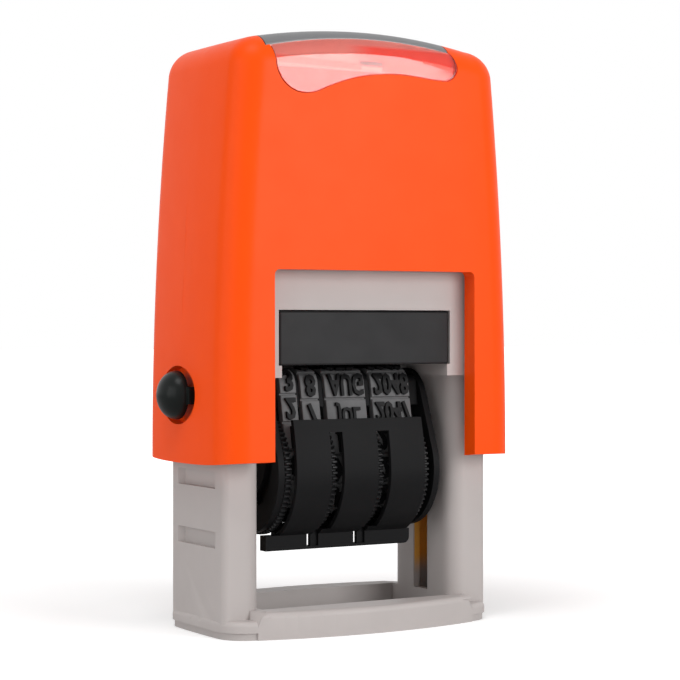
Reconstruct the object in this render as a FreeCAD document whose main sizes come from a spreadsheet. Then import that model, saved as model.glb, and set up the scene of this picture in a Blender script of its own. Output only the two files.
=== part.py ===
import FreeCAD, Part
import math
import os
import Sketcher

# Self-inking date stamp. X runs left to right, the front faces -Y, Z is up.
# The origin is the middle of the base on the surface that the stamp stands on.

DOC = FreeCAD.newDocument("date_stamp")

# Driving dimensions in millimetres
DIMENSIONS = (
    ("base_flange", 0.2),
    ("base_half_depth", 10.65),
    ("base_side_bow", 0.15),
    ("base_corner", 4.4),
    ("base_plate_height", 2.6),
    ("base_bar_rise", 1.2),
    ("base_bar_overlap", 2.1),
    ("base_edge_fillet", 0.8),
    ("print_half_depth", 8.0),
    ("foot_relief_height", 1.0),
    ("foot_relief_depth", 0.3),
    ("leg_clearance", 2.25),
    ("leg_side_wall", 2.8),
    ("leg_setback", 1.9),
    ("leg_corner", 1.0),
    ("leg_inner_corner", 2.6),
    ("leg_shoulder_hidden", 0.2),
    ("leg_wall", 1.1),
    ("channel_width", 2.3),
    ("channel_half_depth", 3.6),
    ("channel_floor", 3.4),
    ("slot_half_width", 1.9),
    ("slot_floor", 0.5),
    ("slot_spare", 1.6),
    ("detent_half_height", 1.15),
    ("detent_half_length", 5.8),
    ("detent_depth", 0.8),
    ("detent_ramp", 0.7),
    ("half_lock_travel", 11.7),
    ("head_side_wall", 0.8),
    ("head_gap", 0.4),
    ("head_corner", 3.0),
    ("ledge_thickness", 1.7),
    ("head_roof", 6.6),
    ("ledge_clearance", 0.3),
    ("ledge_width", 0.35),
    ("rear_rail_depth", 1.0),
    ("pad_inset", 0.1),
    ("pad_bottom", 37.8),
    ("pad_height", 7.6),
    ("pad_clearance", 0.15),
    ("pad_edge_fillet", 0.4),
    ("felt_margin", 1.85),
    ("felt_height", 2.8),
    ("cap_height", 85.0),
    ("cap_bottom", 24.7),
    ("cap_half_depth", 13.2),
    ("cap_lean", 3.13),
    ("cap_front_lean", 0.2),
    ("cap_side_bow", 0.3),
    ("cap_front_bow", 0.3),
    ("cap_corner", 4.5),
    ("cap_corner_spare", 0.14),
    ("crown_fall", 3.7),
    ("cap_wall", 1.2),
    ("cap_front_wall", 2.6),
    ("cap_roof", 6.0),
    ("cavity_bow", 0.1),
    ("window_margin", 0.8),
    ("window_drop", 0.9),
    ("window_corner", 0.8),
    ("travel", 20.0),
    ("print_clearance", 0.2),
    ("character_height", 0.4),
    ("inking_gap", 0.3),
    ("lens_left_margin", 4.8),
    ("lens_right_margin", 7.35),
    ("lens_lobe_radius", 4.4),
    ("lens_lobe_drop", 9.6),
    ("lens_tip_radius", 2.2),
    ("lens_tip_drop", 6.65),
    ("lens_waist_drop", 6.2),
    ("lens_thickness", 1.2),
    ("lens_reach", 1.2),
    ("insert_left_margin", 3.7),
    ("insert_right_margin", 8.4),
    ("insert_depth", 1.6),
    ("seam_gap", 0.08),
    ("knob_rise", 8.88),
    ("knob_back", 1.0),
    ("knob_radius", 3.44),
    ("knob_dome_height", 2.67),
    ("knob_rim", 0.3),
    ("knob_proud", 3.05),
    ("knob_travel", 0.8),
    ("dish_half_height", 4.12),
    ("dish_half_length", 5.4),
    ("dish_depth", 1.5),
    ("dish_boss_clearance", 0.3),
    ("dish_boss_wall", 0.45),
    ("dish_boss_rim", 1.0),
    ("stem_half_length", 3.7),
    ("stem_half_height", 0.95),
    ("collar_half_length", 3.95),
    ("collar_half_height", 1.2),
    ("stem_clearance", 0.05),
    ("yoke_plate", 1.6),
    ("yoke_half_depth", 4.5),
    ("yoke_arm_thickness", 1.8),
    ("yoke_arm_half_depth", 3.2),
    ("yoke_arm_end", 2.7),
    ("spring_radius", 4.2),
    ("spring_wire_radius", 0.45),
    ("spring_turns", 8.0),
    ("spring_post_radius", 3.0),
    ("spring_post_height", 3.0),
    ("spring_floor", 2.6),
    ("spring_room", 0.5),
    ("pivot_pin_radius", 1.5),
    ("pivot_pin_recess", 0.25),
    ("axle_radius", 1.5),
    ("running_fit", 0.06),
    ("press_fit", 0.02),
    ("wheel_drop", 6.45),
    ("rim_radius", 9.0),
    ("rim_width", 0.9),
    ("end_rim_width", 1.0),
    ("hub_radius", 6.0),
    ("side_gap", 0.1),
    ("day_gap", 0.72),
    ("end_gap", 1.0),
    ("day_tens_width", 2.6),
    ("day_units_width", 2.9),
    ("month_width", 6.65),
    ("year_width", 6.5),
    ("band_radius", 7.24),
    ("band_thickness", 1.1),
    ("nose_half_depth", 5.0),
    ("nose_radius", 2.2),
    ("plate_thickness", 1.0),
    ("plate_inset", 0.3),
    ("plate_nose_radius", 5.4),
    ("plate_nose_rise", 2.8),
    ("cam_depth", 0.6),
    ("cam_clearance", 0.12),
    ("peg_radius", 0.8),
    ("peg_back", 3.0),
    ("platen_clearance", 0.3),
    ("fin_drop", 0.5),
    ("guard_clearance", 0.4),
    ("guard_thickness", 0.7),
    ("guard_rise", 7.7),
    ("guard_end_step", 0.4),
    ("guard_top_lean", 1.2),
    ("guard_bar_drop", 0.85),
    ("guard_bar_height", 2.85),
    ("guard_bar_front", 4.9),
    ("guard_bar_thickness", 1.7),
    ("guard_slot_drop", 1.8),
    ("guard_slot_width", 2.1),
    ("guard_slot_offset", 0.1),
    ("guard_slit_offset", 2.0),
    ("guard_slit_width", 0.6),
    ("guard_slit_height", 1.75),
    ("guard_lip_thickness", 0.75),
    ("guard_relief_width", 1.8),
    ("guard_notch_depth", 0.4),
    ("guard_notch_width", 1.1),
    ("guard_notch_offset", 0.95),
    ("comb_tooth_depth", 1.0),
    ("overrun", 2.0),
)

# Shares of a circle's radius at forty-five degrees
DIAGONAL_SHARE = math.sqrt(0.5)
# Heights of the cap's sections, as shares of the cap
SECTION_SHARES = (0.0, 0.35, 0.7, 1.0)
# The opening for the lens, from its left end: places past the lobe's side, as shares of the lobe's radius
LOBE_SIDE_SHARES = ((0.1, 0.45), (0.25, 0.8))
# The swing from the lobe up to the waist: run as shares of the lobe's radius, rise as shares of the whole rise
SWING_SHARES = ((0.32, 0.046), (0.62, 0.18), (1.99, 0.79), (3.43, 1.0))
# The fall from the waist to the tip: shares of the run and of the fall
FALL_SHARES = ((0.25, 0.125), (0.5, 0.5), (0.75, 0.875), (1.0, 1.0))
# Places past the tip's side, as shares of the tip's radius
TIP_SIDE_SHARES = ((0.15, 0.55), (0.48, 1.1))
# How far the guard's front leans back halfway up, as a share of its lean at the top
GUARD_LEAN_SHARE = 0.3
# Length of a coil's arc, in turns
ARC_TURN_SHARE = 0.25


class Size:
    """A length that carries its number and the sheet formula that gives it."""

    def __init__(self, value, formula):
        self.value = float(value)
        self.formula = formula

    def __add__(self, other):
        other = as_size(other)
        return Size(self.value + other.value, f"({self.formula} + {other.formula})")

    def __sub__(self, other):
        other = as_size(other)
        return Size(self.value - other.value, f"({self.formula} - {other.formula})")

    def __mul__(self, other):
        other = as_size(other)
        return Size(self.value * other.value, f"({self.formula} * {other.formula})")

    def __truediv__(self, other):
        other = as_size(other)
        return Size(self.value / other.value, f"({self.formula} / {other.formula})")

    def __neg__(self):
        return Size(-self.value, f"(0 - {self.formula})")

    __radd__ = __add__
    __rmul__ = __mul__

    def __rsub__(self, other):
        return as_size(other) - self


def as_size(number):
    return number if isinstance(number, Size) else Size(number, repr(float(number)))


def root(size):
    return Size(math.sqrt(size.value), f"sqrt({size.formula})")


def column_name(index):
    return f"B{index + 1}"


class Sheet:
    """The spreadsheet, read as one Size for each driving dimension."""

    def __init__(self):
        self.table = DOC.addObject("Spreadsheet::Sheet", "Sizes")
        for index, (alias, number) in enumerate(DIMENSIONS):
            self.table.set(f"A{index + 1}", alias)
            self.table.set(column_name(index), str(number))
            self.table.setAlias(column_name(index), alias)
            setattr(self, alias, Size(number, f"Sizes.{alias}"))
        DOC.recompute()


S = Sheet()

ZERO = as_size(0)

# The date unit's layout along X: a rim and a band for each wheel, from the left
unit_inner = (
    S.side_gap * 7 + S.day_gap + S.end_gap + S.rim_width * 2 + S.end_rim_width * 2
    + S.day_tens_width + S.day_units_width + S.month_width + S.year_width
) / 2
unit_outer = unit_inner + S.plate_thickness
tens_rim = -unit_inner + S.side_gap
tens_band = tens_rim + S.end_rim_width + S.side_gap
units_band = tens_band + S.day_tens_width + S.day_gap
units_rim = units_band + S.day_units_width + S.side_gap
month_band = units_rim + S.rim_width + S.side_gap
month_rim = month_band + S.month_width + S.side_gap
year_band = month_rim + S.rim_width + S.side_gap
year_rim = year_band + S.year_width + S.side_gap

# Widths from the date unit outwards: the pad's ledges, the legs with their channels, the cap, the buttons
ledge_inner = unit_outer + S.ledge_clearance
pad_half_width = ledge_inner + S.ledge_width
leg_inner = unit_outer + S.leg_clearance
window_half_width = leg_inner + S.window_margin
base_bar_half_width = leg_inner + S.base_bar_overlap
channel_inner = leg_inner + S.leg_wall
channel_outer = channel_inner + S.channel_width
yoke_outer = channel_outer - (S.channel_width - S.yoke_arm_thickness) / 2
yoke_inner = yoke_outer - S.yoke_arm_thickness
pivot_pin_reach = yoke_outer - S.pivot_pin_recess
head_half_width = channel_outer + S.head_side_wall
leg_outer = channel_outer + S.leg_side_wall
base_half_width = leg_outer + S.base_flange
dish_boss_face = leg_outer + S.dish_boss_clearance
dish_floor = dish_boss_face + S.dish_boss_wall
cap_half_width = dish_floor + S.dish_depth
knob_reach = cap_half_width + S.knob_proud
cap_top_half_width = cap_half_width - S.cap_lean
lens_left = cap_top_half_width - S.lens_left_margin
lens_right = cap_top_half_width - S.lens_right_margin
insert_left = cap_top_half_width - S.insert_left_margin
insert_right = cap_top_half_width - S.insert_right_margin

# Depths from the cap inwards
cap_inner_half_depth = S.cap_half_depth - S.cap_front_wall
head_half_depth = cap_inner_half_depth - S.head_gap
pad_half_depth = head_half_depth - S.pad_inset
leg_half_depth = head_half_depth - S.leg_setback
base_bow = S.cap_half_depth - S.base_half_depth
lens_back = S.cap_half_depth - S.lens_reach

# Heights of the frame and the ink pad
base_bar_height = S.base_plate_height + S.base_bar_rise
slot_bottom = S.channel_floor + S.slot_floor
pad_top = S.pad_bottom + S.pad_height
head_bottom = S.pad_bottom - S.ledge_thickness
head_top = pad_top + S.head_roof
spring_seat = pad_top + S.spring_floor
leg_shoulder = S.cap_bottom + S.leg_shoulder_hidden

# Heights of the cap
window_top = head_top - S.window_drop
roof_height = S.cap_height - S.cap_roof
lens_lobe_bottom = S.cap_height - S.lens_lobe_drop
lens_tip_bottom = S.cap_height - S.lens_tip_drop
lens_waist_height = S.cap_height - S.lens_waist_drop
cap_top_fillet = S.cap_corner - S.cap_corner_spare
knob_height = S.cap_bottom + S.knob_rise
full_detent = knob_height - S.travel
half_detent = knob_height - S.half_lock_travel

# The date unit turns over about a pivot that is halfway between its print face at rest and on the paper
print_face = S.pad_bottom - S.inking_gap
pivot_height = (print_face + S.travel + S.print_clearance) / 2
mid_pivot = pivot_height - S.travel / 2
band_top = print_face - S.character_height
wheel_height = pivot_height - S.wheel_drop
platen_bottom = wheel_height + S.rim_radius + S.platen_clearance
plate_radius = S.rim_radius - S.plate_inset
plate_nose_height = pivot_height + S.plate_nose_rise
guard_inner_radius = S.rim_radius + S.guard_clearance
guard_radius = guard_inner_radius + S.guard_thickness
guard_top = wheel_height + S.guard_rise
guard_slot_top = guard_top - S.guard_slot_drop
guard_bottom = wheel_height - guard_radius - S.guard_bar_drop
guard_bar_top = guard_bottom + S.guard_bar_height
guard_bar_back = S.guard_bar_front - S.guard_bar_thickness
comb_back = guard_bar_back - S.comb_tooth_depth
comb_top = wheel_height - S.band_radius - S.running_fit

NODES = {}


def bind(thing, prop, size):
    thing.setExpression(prop, as_size(size).formula)


def keep(thing, node):
    thing.Label = node
    NODES[node] = thing
    return thing


def body(name):
    return DOC.addObject("PartDesign::Body", name)


def sketch_on(part, name, role, lift=ZERO):
    sketch = part.newObject("Sketcher::SketchObject", name)
    plane = next(p for p in part.Origin.OriginFeatures if p.Role == role)
    sketch.AttachmentSupport = [(plane, "")]
    sketch.MapMode = "FlatFace"
    bind(sketch, "AttachmentOffset.Base.z", lift)
    return sketch


def vector(point):
    return FreeCAD.Vector(point[0].value, point[1].value, 0)


def bound_constraint(sketch, size, *words):
    number = sketch.addConstraint(Sketcher.Constraint(*words, as_size(size).value))
    bind(sketch, f"Constraints[{number}]", size)


def pin_point(sketch, element, end, point):
    bound_constraint(sketch, point[0], "DistanceX", -1, 1, element, end)
    bound_constraint(sketch, point[1], "DistanceY", -1, 1, element, end)


def through_point(sketch, element, point):
    """Make an arc pass through a point that sizes place."""
    mark = sketch.addGeometry(Part.Point(vector(point)), True)
    pin_point(sketch, mark, 1, point)
    sketch.addConstraint(Sketcher.Constraint("PointOnObject", mark, 1, element))


def pair(x, y):
    return (as_size(x), as_size(y))


def trace(sketch, start, steps):
    """Draw a closed outline: each step is a corner, or a point on an arc and its end."""
    places = [pair(*start)] + [pair(*step[-1]) for step in steps]
    elements = []
    for index, step in enumerate(steps):
        first, last = vector(places[index]), vector(places[index + 1])
        if len(step) == 1:
            element = sketch.addGeometry(Part.LineSegment(first, last))
            ends = (1, 2)
        else:
            middle = pair(*step[0])
            element = sketch.addGeometry(Part.Arc(first, vector(middle), last))
            swapped = sketch.getPoint(element, 1).distanceToPoint(first) > vector(middle).distanceToPoint(first)
            ends = (2, 1) if swapped else (1, 2)
            through_point(sketch, element, middle)
        elements.append((element, ends))
    for index, (element, ends) in enumerate(elements):
        following, next_ends = elements[(index + 1) % len(elements)]
        sketch.addConstraint(Sketcher.Constraint("Coincident", element, ends[1], following, next_ends[0]))
        pin_point(sketch, element, ends[0], places[index])


def box_outline(sketch, low, high):
    trace(sketch, low, [[(high[0], low[1])], [high], [(low[0], high[1])], [low]])


def rounded_outline(sketch, low, high, left_radius, right_radius):
    """A rectangle with one radius at its left corners and one at its right corners."""
    near, far = left_radius * (1 - DIAGONAL_SHARE), right_radius * (1 - DIAGONAL_SHARE)
    (left, bottom), (right, top) = low, high
    trace(sketch, (left + left_radius, bottom), [
        [(right - right_radius, bottom)],
        [(right - far, bottom + far), (right, bottom + right_radius)],
        [(right, top - right_radius)],
        [(right - far, top - far), (right - right_radius, top)],
        [(left + left_radius, top)],
        [(left + near, top - near), (left, top - left_radius)],
        [(left, bottom + left_radius)],
        [(left + near, bottom + near), (left + left_radius, bottom)],
    ])


def tangent(sketch, one, end, other, start):
    sketch.addConstraint(Sketcher.Constraint("Tangent", one, end, other, start))


def ring_of_arcs(sketch, circles, joints):
    """Arcs about the circles, counter-clockwise, with the element that each joint makes between them."""
    arcs = []
    for index, (centre, radius) in enumerate(circles):
        came, leaves = joints[index - 1][0], joints[index][0]
        shape = Part.Circle(vector(centre), FreeCAD.Vector(0, 0, 1), radius.value)
        arc = sketch.addGeometry(Part.ArcOfCircle(shape, came, leaves + (2 * math.pi if leaves < came else 0)))
        pin_point(sketch, arc, 3, centre)
        bound_constraint(sketch, radius, "Radius", arc)
        arcs.append(arc)
    for index, arc in enumerate(arcs):
        following = arcs[(index + 1) % len(arcs)]
        first, last = sketch.getPoint(arc, 2), sketch.getPoint(following, 1)
        crest = joints[index][1]
        if crest is None:
            element = sketch.addGeometry(Part.LineSegment(first, last))
        else:
            element = sketch.addGeometry(Part.Arc(first, vector(crest), last))
        tangent(sketch, arc, 2, element, 1)
        tangent(sketch, element, 2, following, 1)
        if crest is not None:
            through_point(sketch, element, crest)


def belt_outline(sketch, circles):
    """A belt drawn tight round circles that are given counter-clockwise."""
    joints = []
    for index, (centre, radius) in enumerate(circles):
        far, far_radius = circles[(index + 1) % len(circles)]
        run = vector(far) - vector(centre)
        along = run.normalize() if run.Length else run
        length = (vector(far) - vector(centre)).Length
        share = (radius.value - far_radius.value) / length
        across = FreeCAD.Vector(along.y, -along.x, 0)
        normal = along * share + across * math.sqrt(1 - share * share)
        joints.append((math.atan2(normal.y, normal.x) % (2 * math.pi), None))
    ring_of_arcs(sketch, circles, joints)


def bowed_outline(sketch, half_width, half_depth, corner, side_bow, front_bow):
    """A rectangle with round corners whose four sides swell, all in one smooth line."""
    x, y = half_width - corner, half_depth - corner
    circles = [((-x, -y), corner), ((x, -y), corner), ((x, y), corner), ((-x, y), corner)]
    crests = [
        pair(0, -(half_depth + front_bow)),
        pair(half_width + side_bow, 0),
        pair(0, half_depth + front_bow),
        pair(-(half_width + side_bow), 0),
    ]
    quarter = math.pi / 2
    joints = [((index + 3) % 4 * quarter, crest) for index, crest in enumerate(crests)]
    ring_of_arcs(sketch, circles, joints)


def pad(part, sketch, length, both_ways=False, backwards=False):
    feature = part.newObject("PartDesign::Pad", f"{part.Name}_{sketch.Name}_pad")
    feature.Profile = sketch
    bind(feature, "Length", length)
    feature.Midplane = both_ways
    feature.Reversed = backwards
    return feature


def pocket(part, sketch, length, both_ways=False, backwards=False):
    feature = part.newObject("PartDesign::Pocket", f"{part.Name}_{sketch.Name}_pocket")
    feature.Profile = sketch
    bind(feature, "Length", length)
    feature.Midplane = both_ways
    feature.Reversed = backwards
    return feature


def fillet(part, feature, radius, wanted):
    """Round the edges that the test picks."""
    DOC.recompute()
    names = [f"Edge{n + 1}" for n, edge in enumerate(feature.Shape.Edges) if wanted(edge)]
    rounded = part.newObject("PartDesign::Fillet", f"{feature.Name}_fillet")
    rounded.Base = (feature, names)
    bind(rounded, "Radius", radius)
    return rounded


def loft(part, sketches, name):
    feature = part.newObject("PartDesign::AdditiveLoft", name)
    feature.Profile = sketches[0]
    feature.Sections = sketches[1:]
    return feature


def place(thing, x, y, z):
    for axis, size in zip("xyz", (x, y, z)):
        bind(thing, f"Placement.Base.{axis}", size)


def block(name, low, high):
    thing = DOC.addObject("Part::Box", name)
    for prop, start, end in zip(("Length", "Width", "Height"), low, high):
        bind(thing, prop, as_size(end) - start)
    place(thing, *low)
    return thing


TURNS = {
    "X": FreeCAD.Rotation(FreeCAD.Vector(0, 1, 0), 90),
    "Y": FreeCAD.Rotation(FreeCAD.Vector(1, 0, 0), -90),
    "Z": FreeCAD.Rotation(),
}


# A flat outline turned to face along X, with its own X along Y
FACING_X = FreeCAD.Rotation(FreeCAD.Vector(1, 1, 1), 120)


def rod(name, axis, start, length, radius):
    thing = DOC.addObject("Part::Cylinder", name)
    thing.Placement.Rotation = TURNS[axis]
    bind(thing, "Height", length)
    bind(thing, "Radius", radius)
    place(thing, *start)
    return thing


def fuse(name, *things):
    joined = DOC.addObject("Part::MultiFuse", name)
    joined.Shapes = list(things)
    joined.Refine = True
    return joined


def cut(name, base, *tools):
    result = DOC.addObject("Part::Cut", name)
    result.Base = base
    result.Tool = tools[0] if len(tools) == 1 else fuse(f"{name}_tools", *tools)
    result.Refine = True
    return result


def common(name, *things):
    result = DOC.addObject("Part::MultiCommon", name)
    result.Shapes = list(things)
    result.Refine = True
    return result


def pillar(name, low, high, left_radius, right_radius):
    """An upright block with round vertical edges."""
    part = body(name)
    sketch = sketch_on(part, f"{name}_plan", "XY_Plane", low[2])
    rounded_outline(sketch, pair(*low[:2]), pair(*high[:2]), left_radius, right_radius)
    pad(part, sketch, as_size(high[2]) - low[2])
    return part


def across(side, near, far):
    """A length from near to far on one side of the middle, lowest end first."""
    return (near, far) if side > 0 else (-far, -near)


# The base frame: a bowed ring to stand on, two hollow legs and the head that holds the ink pad

def base_plan(name, height, inset=ZERO, start=ZERO):
    part = body(name)
    sketch = sketch_on(part, f"{name}_plan", "XY_Plane", start)
    bowed_outline(sketch, base_half_width - inset, S.base_half_depth - inset, S.base_corner - inset,
                  S.base_side_bow, base_bow)
    feature = pad(part, sketch, height - start)
    return part, feature


def round_top(part, feature, height, radius):
    def on_top(edge):
        box = edge.BoundBox
        return box.ZMin > height.value - radius.value / 4
    fillet(part, feature, radius, on_top)


def mirrored_blocks(name, low, high):
    """One block at +X and its mirror image at -X."""
    right = block(f"{name}_right", low, high)
    left = block(f"{name}_left", (-as_size(high[0]), low[1], low[2]), (-as_size(low[0]), high[1], high[2]))
    return [right, left]


def leg_pillars(name, outer, bottom, top):
    """A pair of legs, rounder on the side of the opening."""
    pillars = []
    for side, word in ((1, "right"), (-1, "left")):
        low_x, high_x = across(side, leg_inner, outer)
        radii = (S.leg_inner_corner, S.leg_corner)[::side]
        low = (low_x, -leg_half_depth, bottom)
        high = (high_x, leg_half_depth, top)
        pillars.append(pillar(f"{name}_{word}", low, high, *radii))
    return pillars


def detent(side, name, height):
    """A groove across a leg's outer face for the lock button's stem, with a ramp at each end."""
    part = body(name)
    sketch = sketch_on(part, f"{name}_plan", "XY_Plane", height - S.detent_half_height)
    face, floor, outside = leg_outer * side, (leg_outer - S.detent_depth) * side, (leg_outer + S.overrun) * side
    end = S.detent_half_length
    flat = end - S.detent_ramp
    trace(sketch, (outside, -end), [[(face, -end)], [(floor, -flat)], [(floor, flat)], [(face, end)],
                                    [(outside, end)], [(outside, -end)]])
    pad(part, sketch, S.detent_half_height * 2)
    return part


def make_base_frame():
    plate, plate_pad = base_plan("base_plate", S.base_plate_height)
    round_top(plate, plate_pad, S.base_plate_height, S.base_edge_fillet)
    bars_plan, bars_pad = base_plan("base_bars", base_bar_height)
    round_top(bars_plan, bars_pad, base_bar_height, S.base_edge_fillet)
    bar_zone = block("bar_zone", (-base_bar_half_width, -cap_half_width, ZERO),
                     (base_bar_half_width, cap_half_width, base_bar_height + S.overrun))
    bars = common("base_bars_cropped", bars_plan, bar_zone)
    legs = leg_pillars("leg", leg_outer, S.base_plate_height / 2, leg_shoulder)
    upper_legs = leg_pillars("upper_leg", head_half_width, leg_shoulder, head_bottom)
    head_form = pillar("head_form", (-head_half_width, -head_half_depth, head_bottom),
                       (head_half_width, head_half_depth, head_top), S.head_corner, S.head_corner)
    well = rod("spring_well", "Z", (ZERO, ZERO, spring_seat), head_top - spring_seat + S.overrun,
               S.spring_radius + S.spring_wire_radius + S.spring_room)
    head = cut("head", head_form, well)
    post = rod("frame_spring_post", "Z", (ZERO, ZERO, spring_seat), S.spring_post_height, S.spring_post_radius)
    peg_length = leg_inner + S.leg_wall / 2 - (unit_outer - S.cam_depth + S.running_fit)
    right_peg = rod("right_peg", "X", (unit_outer - S.cam_depth + S.running_fit, S.peg_back, mid_pivot),
                    peg_length, S.peg_radius)
    left_peg = rod("left_peg", "X", (-(leg_inner + S.leg_wall / 2), S.peg_back, mid_pivot),
                   peg_length, S.peg_radius)
    solid = fuse("frame_solid", plate, bars, *legs, *upper_legs, head, post, right_peg, left_peg)

    over = S.overrun
    opening = block("print_opening", (-leg_inner, -S.print_half_depth, -over),
                    (leg_inner, S.print_half_depth, base_bar_height + over))
    pad_room = block("pad_room", (-(pad_half_width + S.pad_clearance), -(head_half_depth + over),
                                  S.pad_bottom - S.press_fit),
                     (pad_half_width + S.pad_clearance, head_half_depth + over, pad_top + S.pad_clearance))
    below_pad = block("below_pad", (-ledge_inner, -(head_half_depth + over), head_bottom - over),
                      (ledge_inner, head_half_depth - S.rear_rail_depth, S.pad_bottom + over))
    channels = mirrored_blocks("channel", (channel_inner, -S.channel_half_depth, S.channel_floor),
                               (channel_outer, S.channel_half_depth, head_top + over))
    slots = mirrored_blocks("pin_slot", (leg_inner - over / 2, -S.slot_half_width, slot_bottom),
                            (channel_inner + S.channel_width / 2, S.slot_half_width, pivot_height + S.slot_spare))
    detents = []
    for height, word in ((full_detent, "full"), (half_detent, "half")):
        detents += [detent(side, f"{name}_{word}_detent", height) for side, name in ((1, "right"), (-1, "left"))]
    frame = cut("frame_cut", solid, opening, pad_room, below_pad, *channels, *slots, *detents)

    relief_outer, _ = base_plan("relief_outer", S.foot_relief_height, -over, -over)
    relief_inner, _ = base_plan("relief_inner", S.foot_relief_height + over, S.foot_relief_depth, -over * 2)
    relief_middle = block("relief_middle", (-base_bar_half_width, -cap_half_width, -over * 2),
                          (base_bar_half_width, cap_half_width, S.foot_relief_height + over))
    relief = cut("foot_relief", relief_outer, relief_inner, relief_middle)
    keep(cut("base_frame", frame, relief), "base_frame")


def make_ink_pad():
    felt_half_width, felt_half_depth = pad_half_width - S.felt_margin, pad_half_depth - S.felt_margin
    case = body("pad_case_body")
    sketch = sketch_on(case, "pad_case_plan", "XY_Plane", S.pad_bottom)
    box_outline(sketch, pair(-pad_half_width, -pad_half_depth), pair(pad_half_width, pad_half_depth))
    feature = pad(case, sketch, pad_top - S.pad_bottom)

    def outer_edge(edge):
        return edge.BoundBox.ZMax > S.pad_bottom.value
    fillet(case, feature, S.pad_edge_fillet, outer_edge)
    room = block("felt_room", (-(felt_half_width + S.side_gap), -(felt_half_depth + S.side_gap),
                               S.pad_bottom - S.overrun),
                 (felt_half_width + S.side_gap, felt_half_depth + S.side_gap,
                  S.pad_bottom + S.felt_height + S.press_fit))
    keep(cut("ink_pad_case", case, room), "ink_pad_case")
    felt = block("ink_pad_felt", (-felt_half_width, -felt_half_depth, S.pad_bottom),
                 (felt_half_width, felt_half_depth, S.pad_bottom + S.felt_height))
    keep(felt, "ink_pad_felt")


# The cap: one outer form, made again with an inset for the floor of the recess and the lens's back

def cap_form(name, inset=ZERO):
    part = body(name)
    depth_over = S.cap_half_depth + S.cap_front_bow + S.overrun
    height = S.cap_height - S.cap_bottom
    sketches = []
    for index, share in enumerate(SECTION_SHARES):
        level = S.cap_bottom + height * share
        sketch = sketch_on(part, f"{name}_section_{index}", "XY_Plane", level)
        half_width = cap_half_width - S.cap_lean * (share * share) - inset
        half_depth = S.cap_half_depth - S.cap_front_lean * share - inset
        corner = S.cap_corner - inset
        bowed_outline(sketch, half_width, half_depth, corner, S.cap_side_bow, S.cap_front_bow)
        sketches.append(sketch)
    loft(part, sketches, f"{name}_loft")
    crown = sketch_on(part, f"{name}_crown", "XZ_Plane")
    reach = cap_half_width + S.overrun
    top = S.cap_height - inset
    edge = top - S.crown_fall
    above = S.cap_height + S.overrun
    trace(crown, (-reach, edge), [[(0, top), (reach, edge)], [(reach, above)], [(-reach, above)], [(-reach, edge)]])
    feature = pocket(part, crown, depth_over * 2, both_ways=True)

    def on_crown(curve):
        return curve.BoundBox.ZMin > edge.value
    fillet(part, feature, cap_top_fillet - inset, on_crown)
    return part


def cap_cavity():
    part = body("cap_cavity")
    height = S.cap_height - S.cap_bottom
    levels = [S.cap_bottom - S.overrun] + [S.cap_bottom + height * share for share in SECTION_SHARES[1:-1]]
    levels.append(roof_height)
    sketches = []
    for index, level in enumerate(levels):
        share = (level - S.cap_bottom) / height
        sketch = sketch_on(part, f"cavity_section_{index}", "XY_Plane", level)
        half_width = cap_half_width - S.cap_lean * share * share - S.cap_wall
        half_depth = cap_inner_half_depth
        corner = S.cap_corner - S.cap_wall
        bowed_outline(sketch, half_width, half_depth, corner, S.cap_side_bow, S.cavity_bow)
        sketches.append(sketch)
    loft(part, sketches, "cavity_loft")
    return part


def front_opening(name, margin):
    """The prism of the window in the cap's top and front: a lobe at the left and a round tip at the right."""
    part = body(name)
    sketch = sketch_on(part, f"{name}_outline", "XZ_Plane", lens_back + margin)
    left, right = margin - lens_left, lens_right - margin
    lobe, tip = S.lens_lobe_radius, S.lens_tip_radius
    lobe_bottom, tip_bottom = lens_lobe_bottom + margin, lens_tip_bottom + margin
    near, far = lobe * (1 - DIAGONAL_SHARE), tip * (1 - DIAGONAL_SHARE)
    lobe_level, tip_level = lobe_bottom + lobe, tip_bottom + tip
    above = S.cap_height + S.overrun
    left_side = [(left - lobe * out, lobe_level + lobe * up) for out, up in LOBE_SIDE_SHARES]
    right_side = [(right - tip * back, tip_level + tip * up) for back, up in TIP_SIDE_SHARES]
    rise = lens_waist_height - lens_lobe_bottom
    swing = [(left + lobe + lobe * run, lobe_bottom + rise * up) for run, up in SWING_SHARES]
    run_to_tip = right - tip - swing[-1][0]
    drop = lens_waist_height - lens_tip_bottom
    fall = [(swing[-1][0] + run_to_tip * run, swing[-1][1] - drop * down) for run, down in FALL_SHARES]
    trace(sketch, (left_side[1][0], above), [
        [left_side[1]],
        [left_side[0], (left, lobe_level)],
        [(left + near, lobe_bottom + near), (left + lobe, lobe_bottom)],
        swing[:2],
        swing[2:],
        fall[:2],
        fall[2:],
        [(right - far, tip_bottom + far), (right, tip_level)],
        right_side,
        [(right_side[1][0], above)],
        [(left_side[1][0], above)],
    ])
    pad(part, sketch, S.cap_half_depth)
    return part


def top_zone(name, margin):
    return block(name, (-(insert_left - margin), -(lens_back - margin), roof_height),
                 (insert_right - margin, lens_back - margin, S.cap_height + S.overrun))


def oval_rod(name, ends, half_length, half_height):
    """A rod along X about the lock button, with an ellipse for its section: longer to front and back than high."""
    start, end = ends
    outline = DOC.addObject("Part::Ellipse", f"{name}_outline")
    outline.Placement.Rotation = FACING_X
    bind(outline, "MajorRadius", half_length)
    bind(outline, "MinorRadius", half_height)
    place(outline, start, S.knob_back, knob_height)
    result = DOC.addObject("Part::Extrusion", name)
    result.Base = outline
    result.DirMode = "Custom"
    result.Dir = FreeCAD.Vector(1, 0, 0)
    result.Solid = True
    bind(result, "LengthFwd", end - start)
    return result


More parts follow.
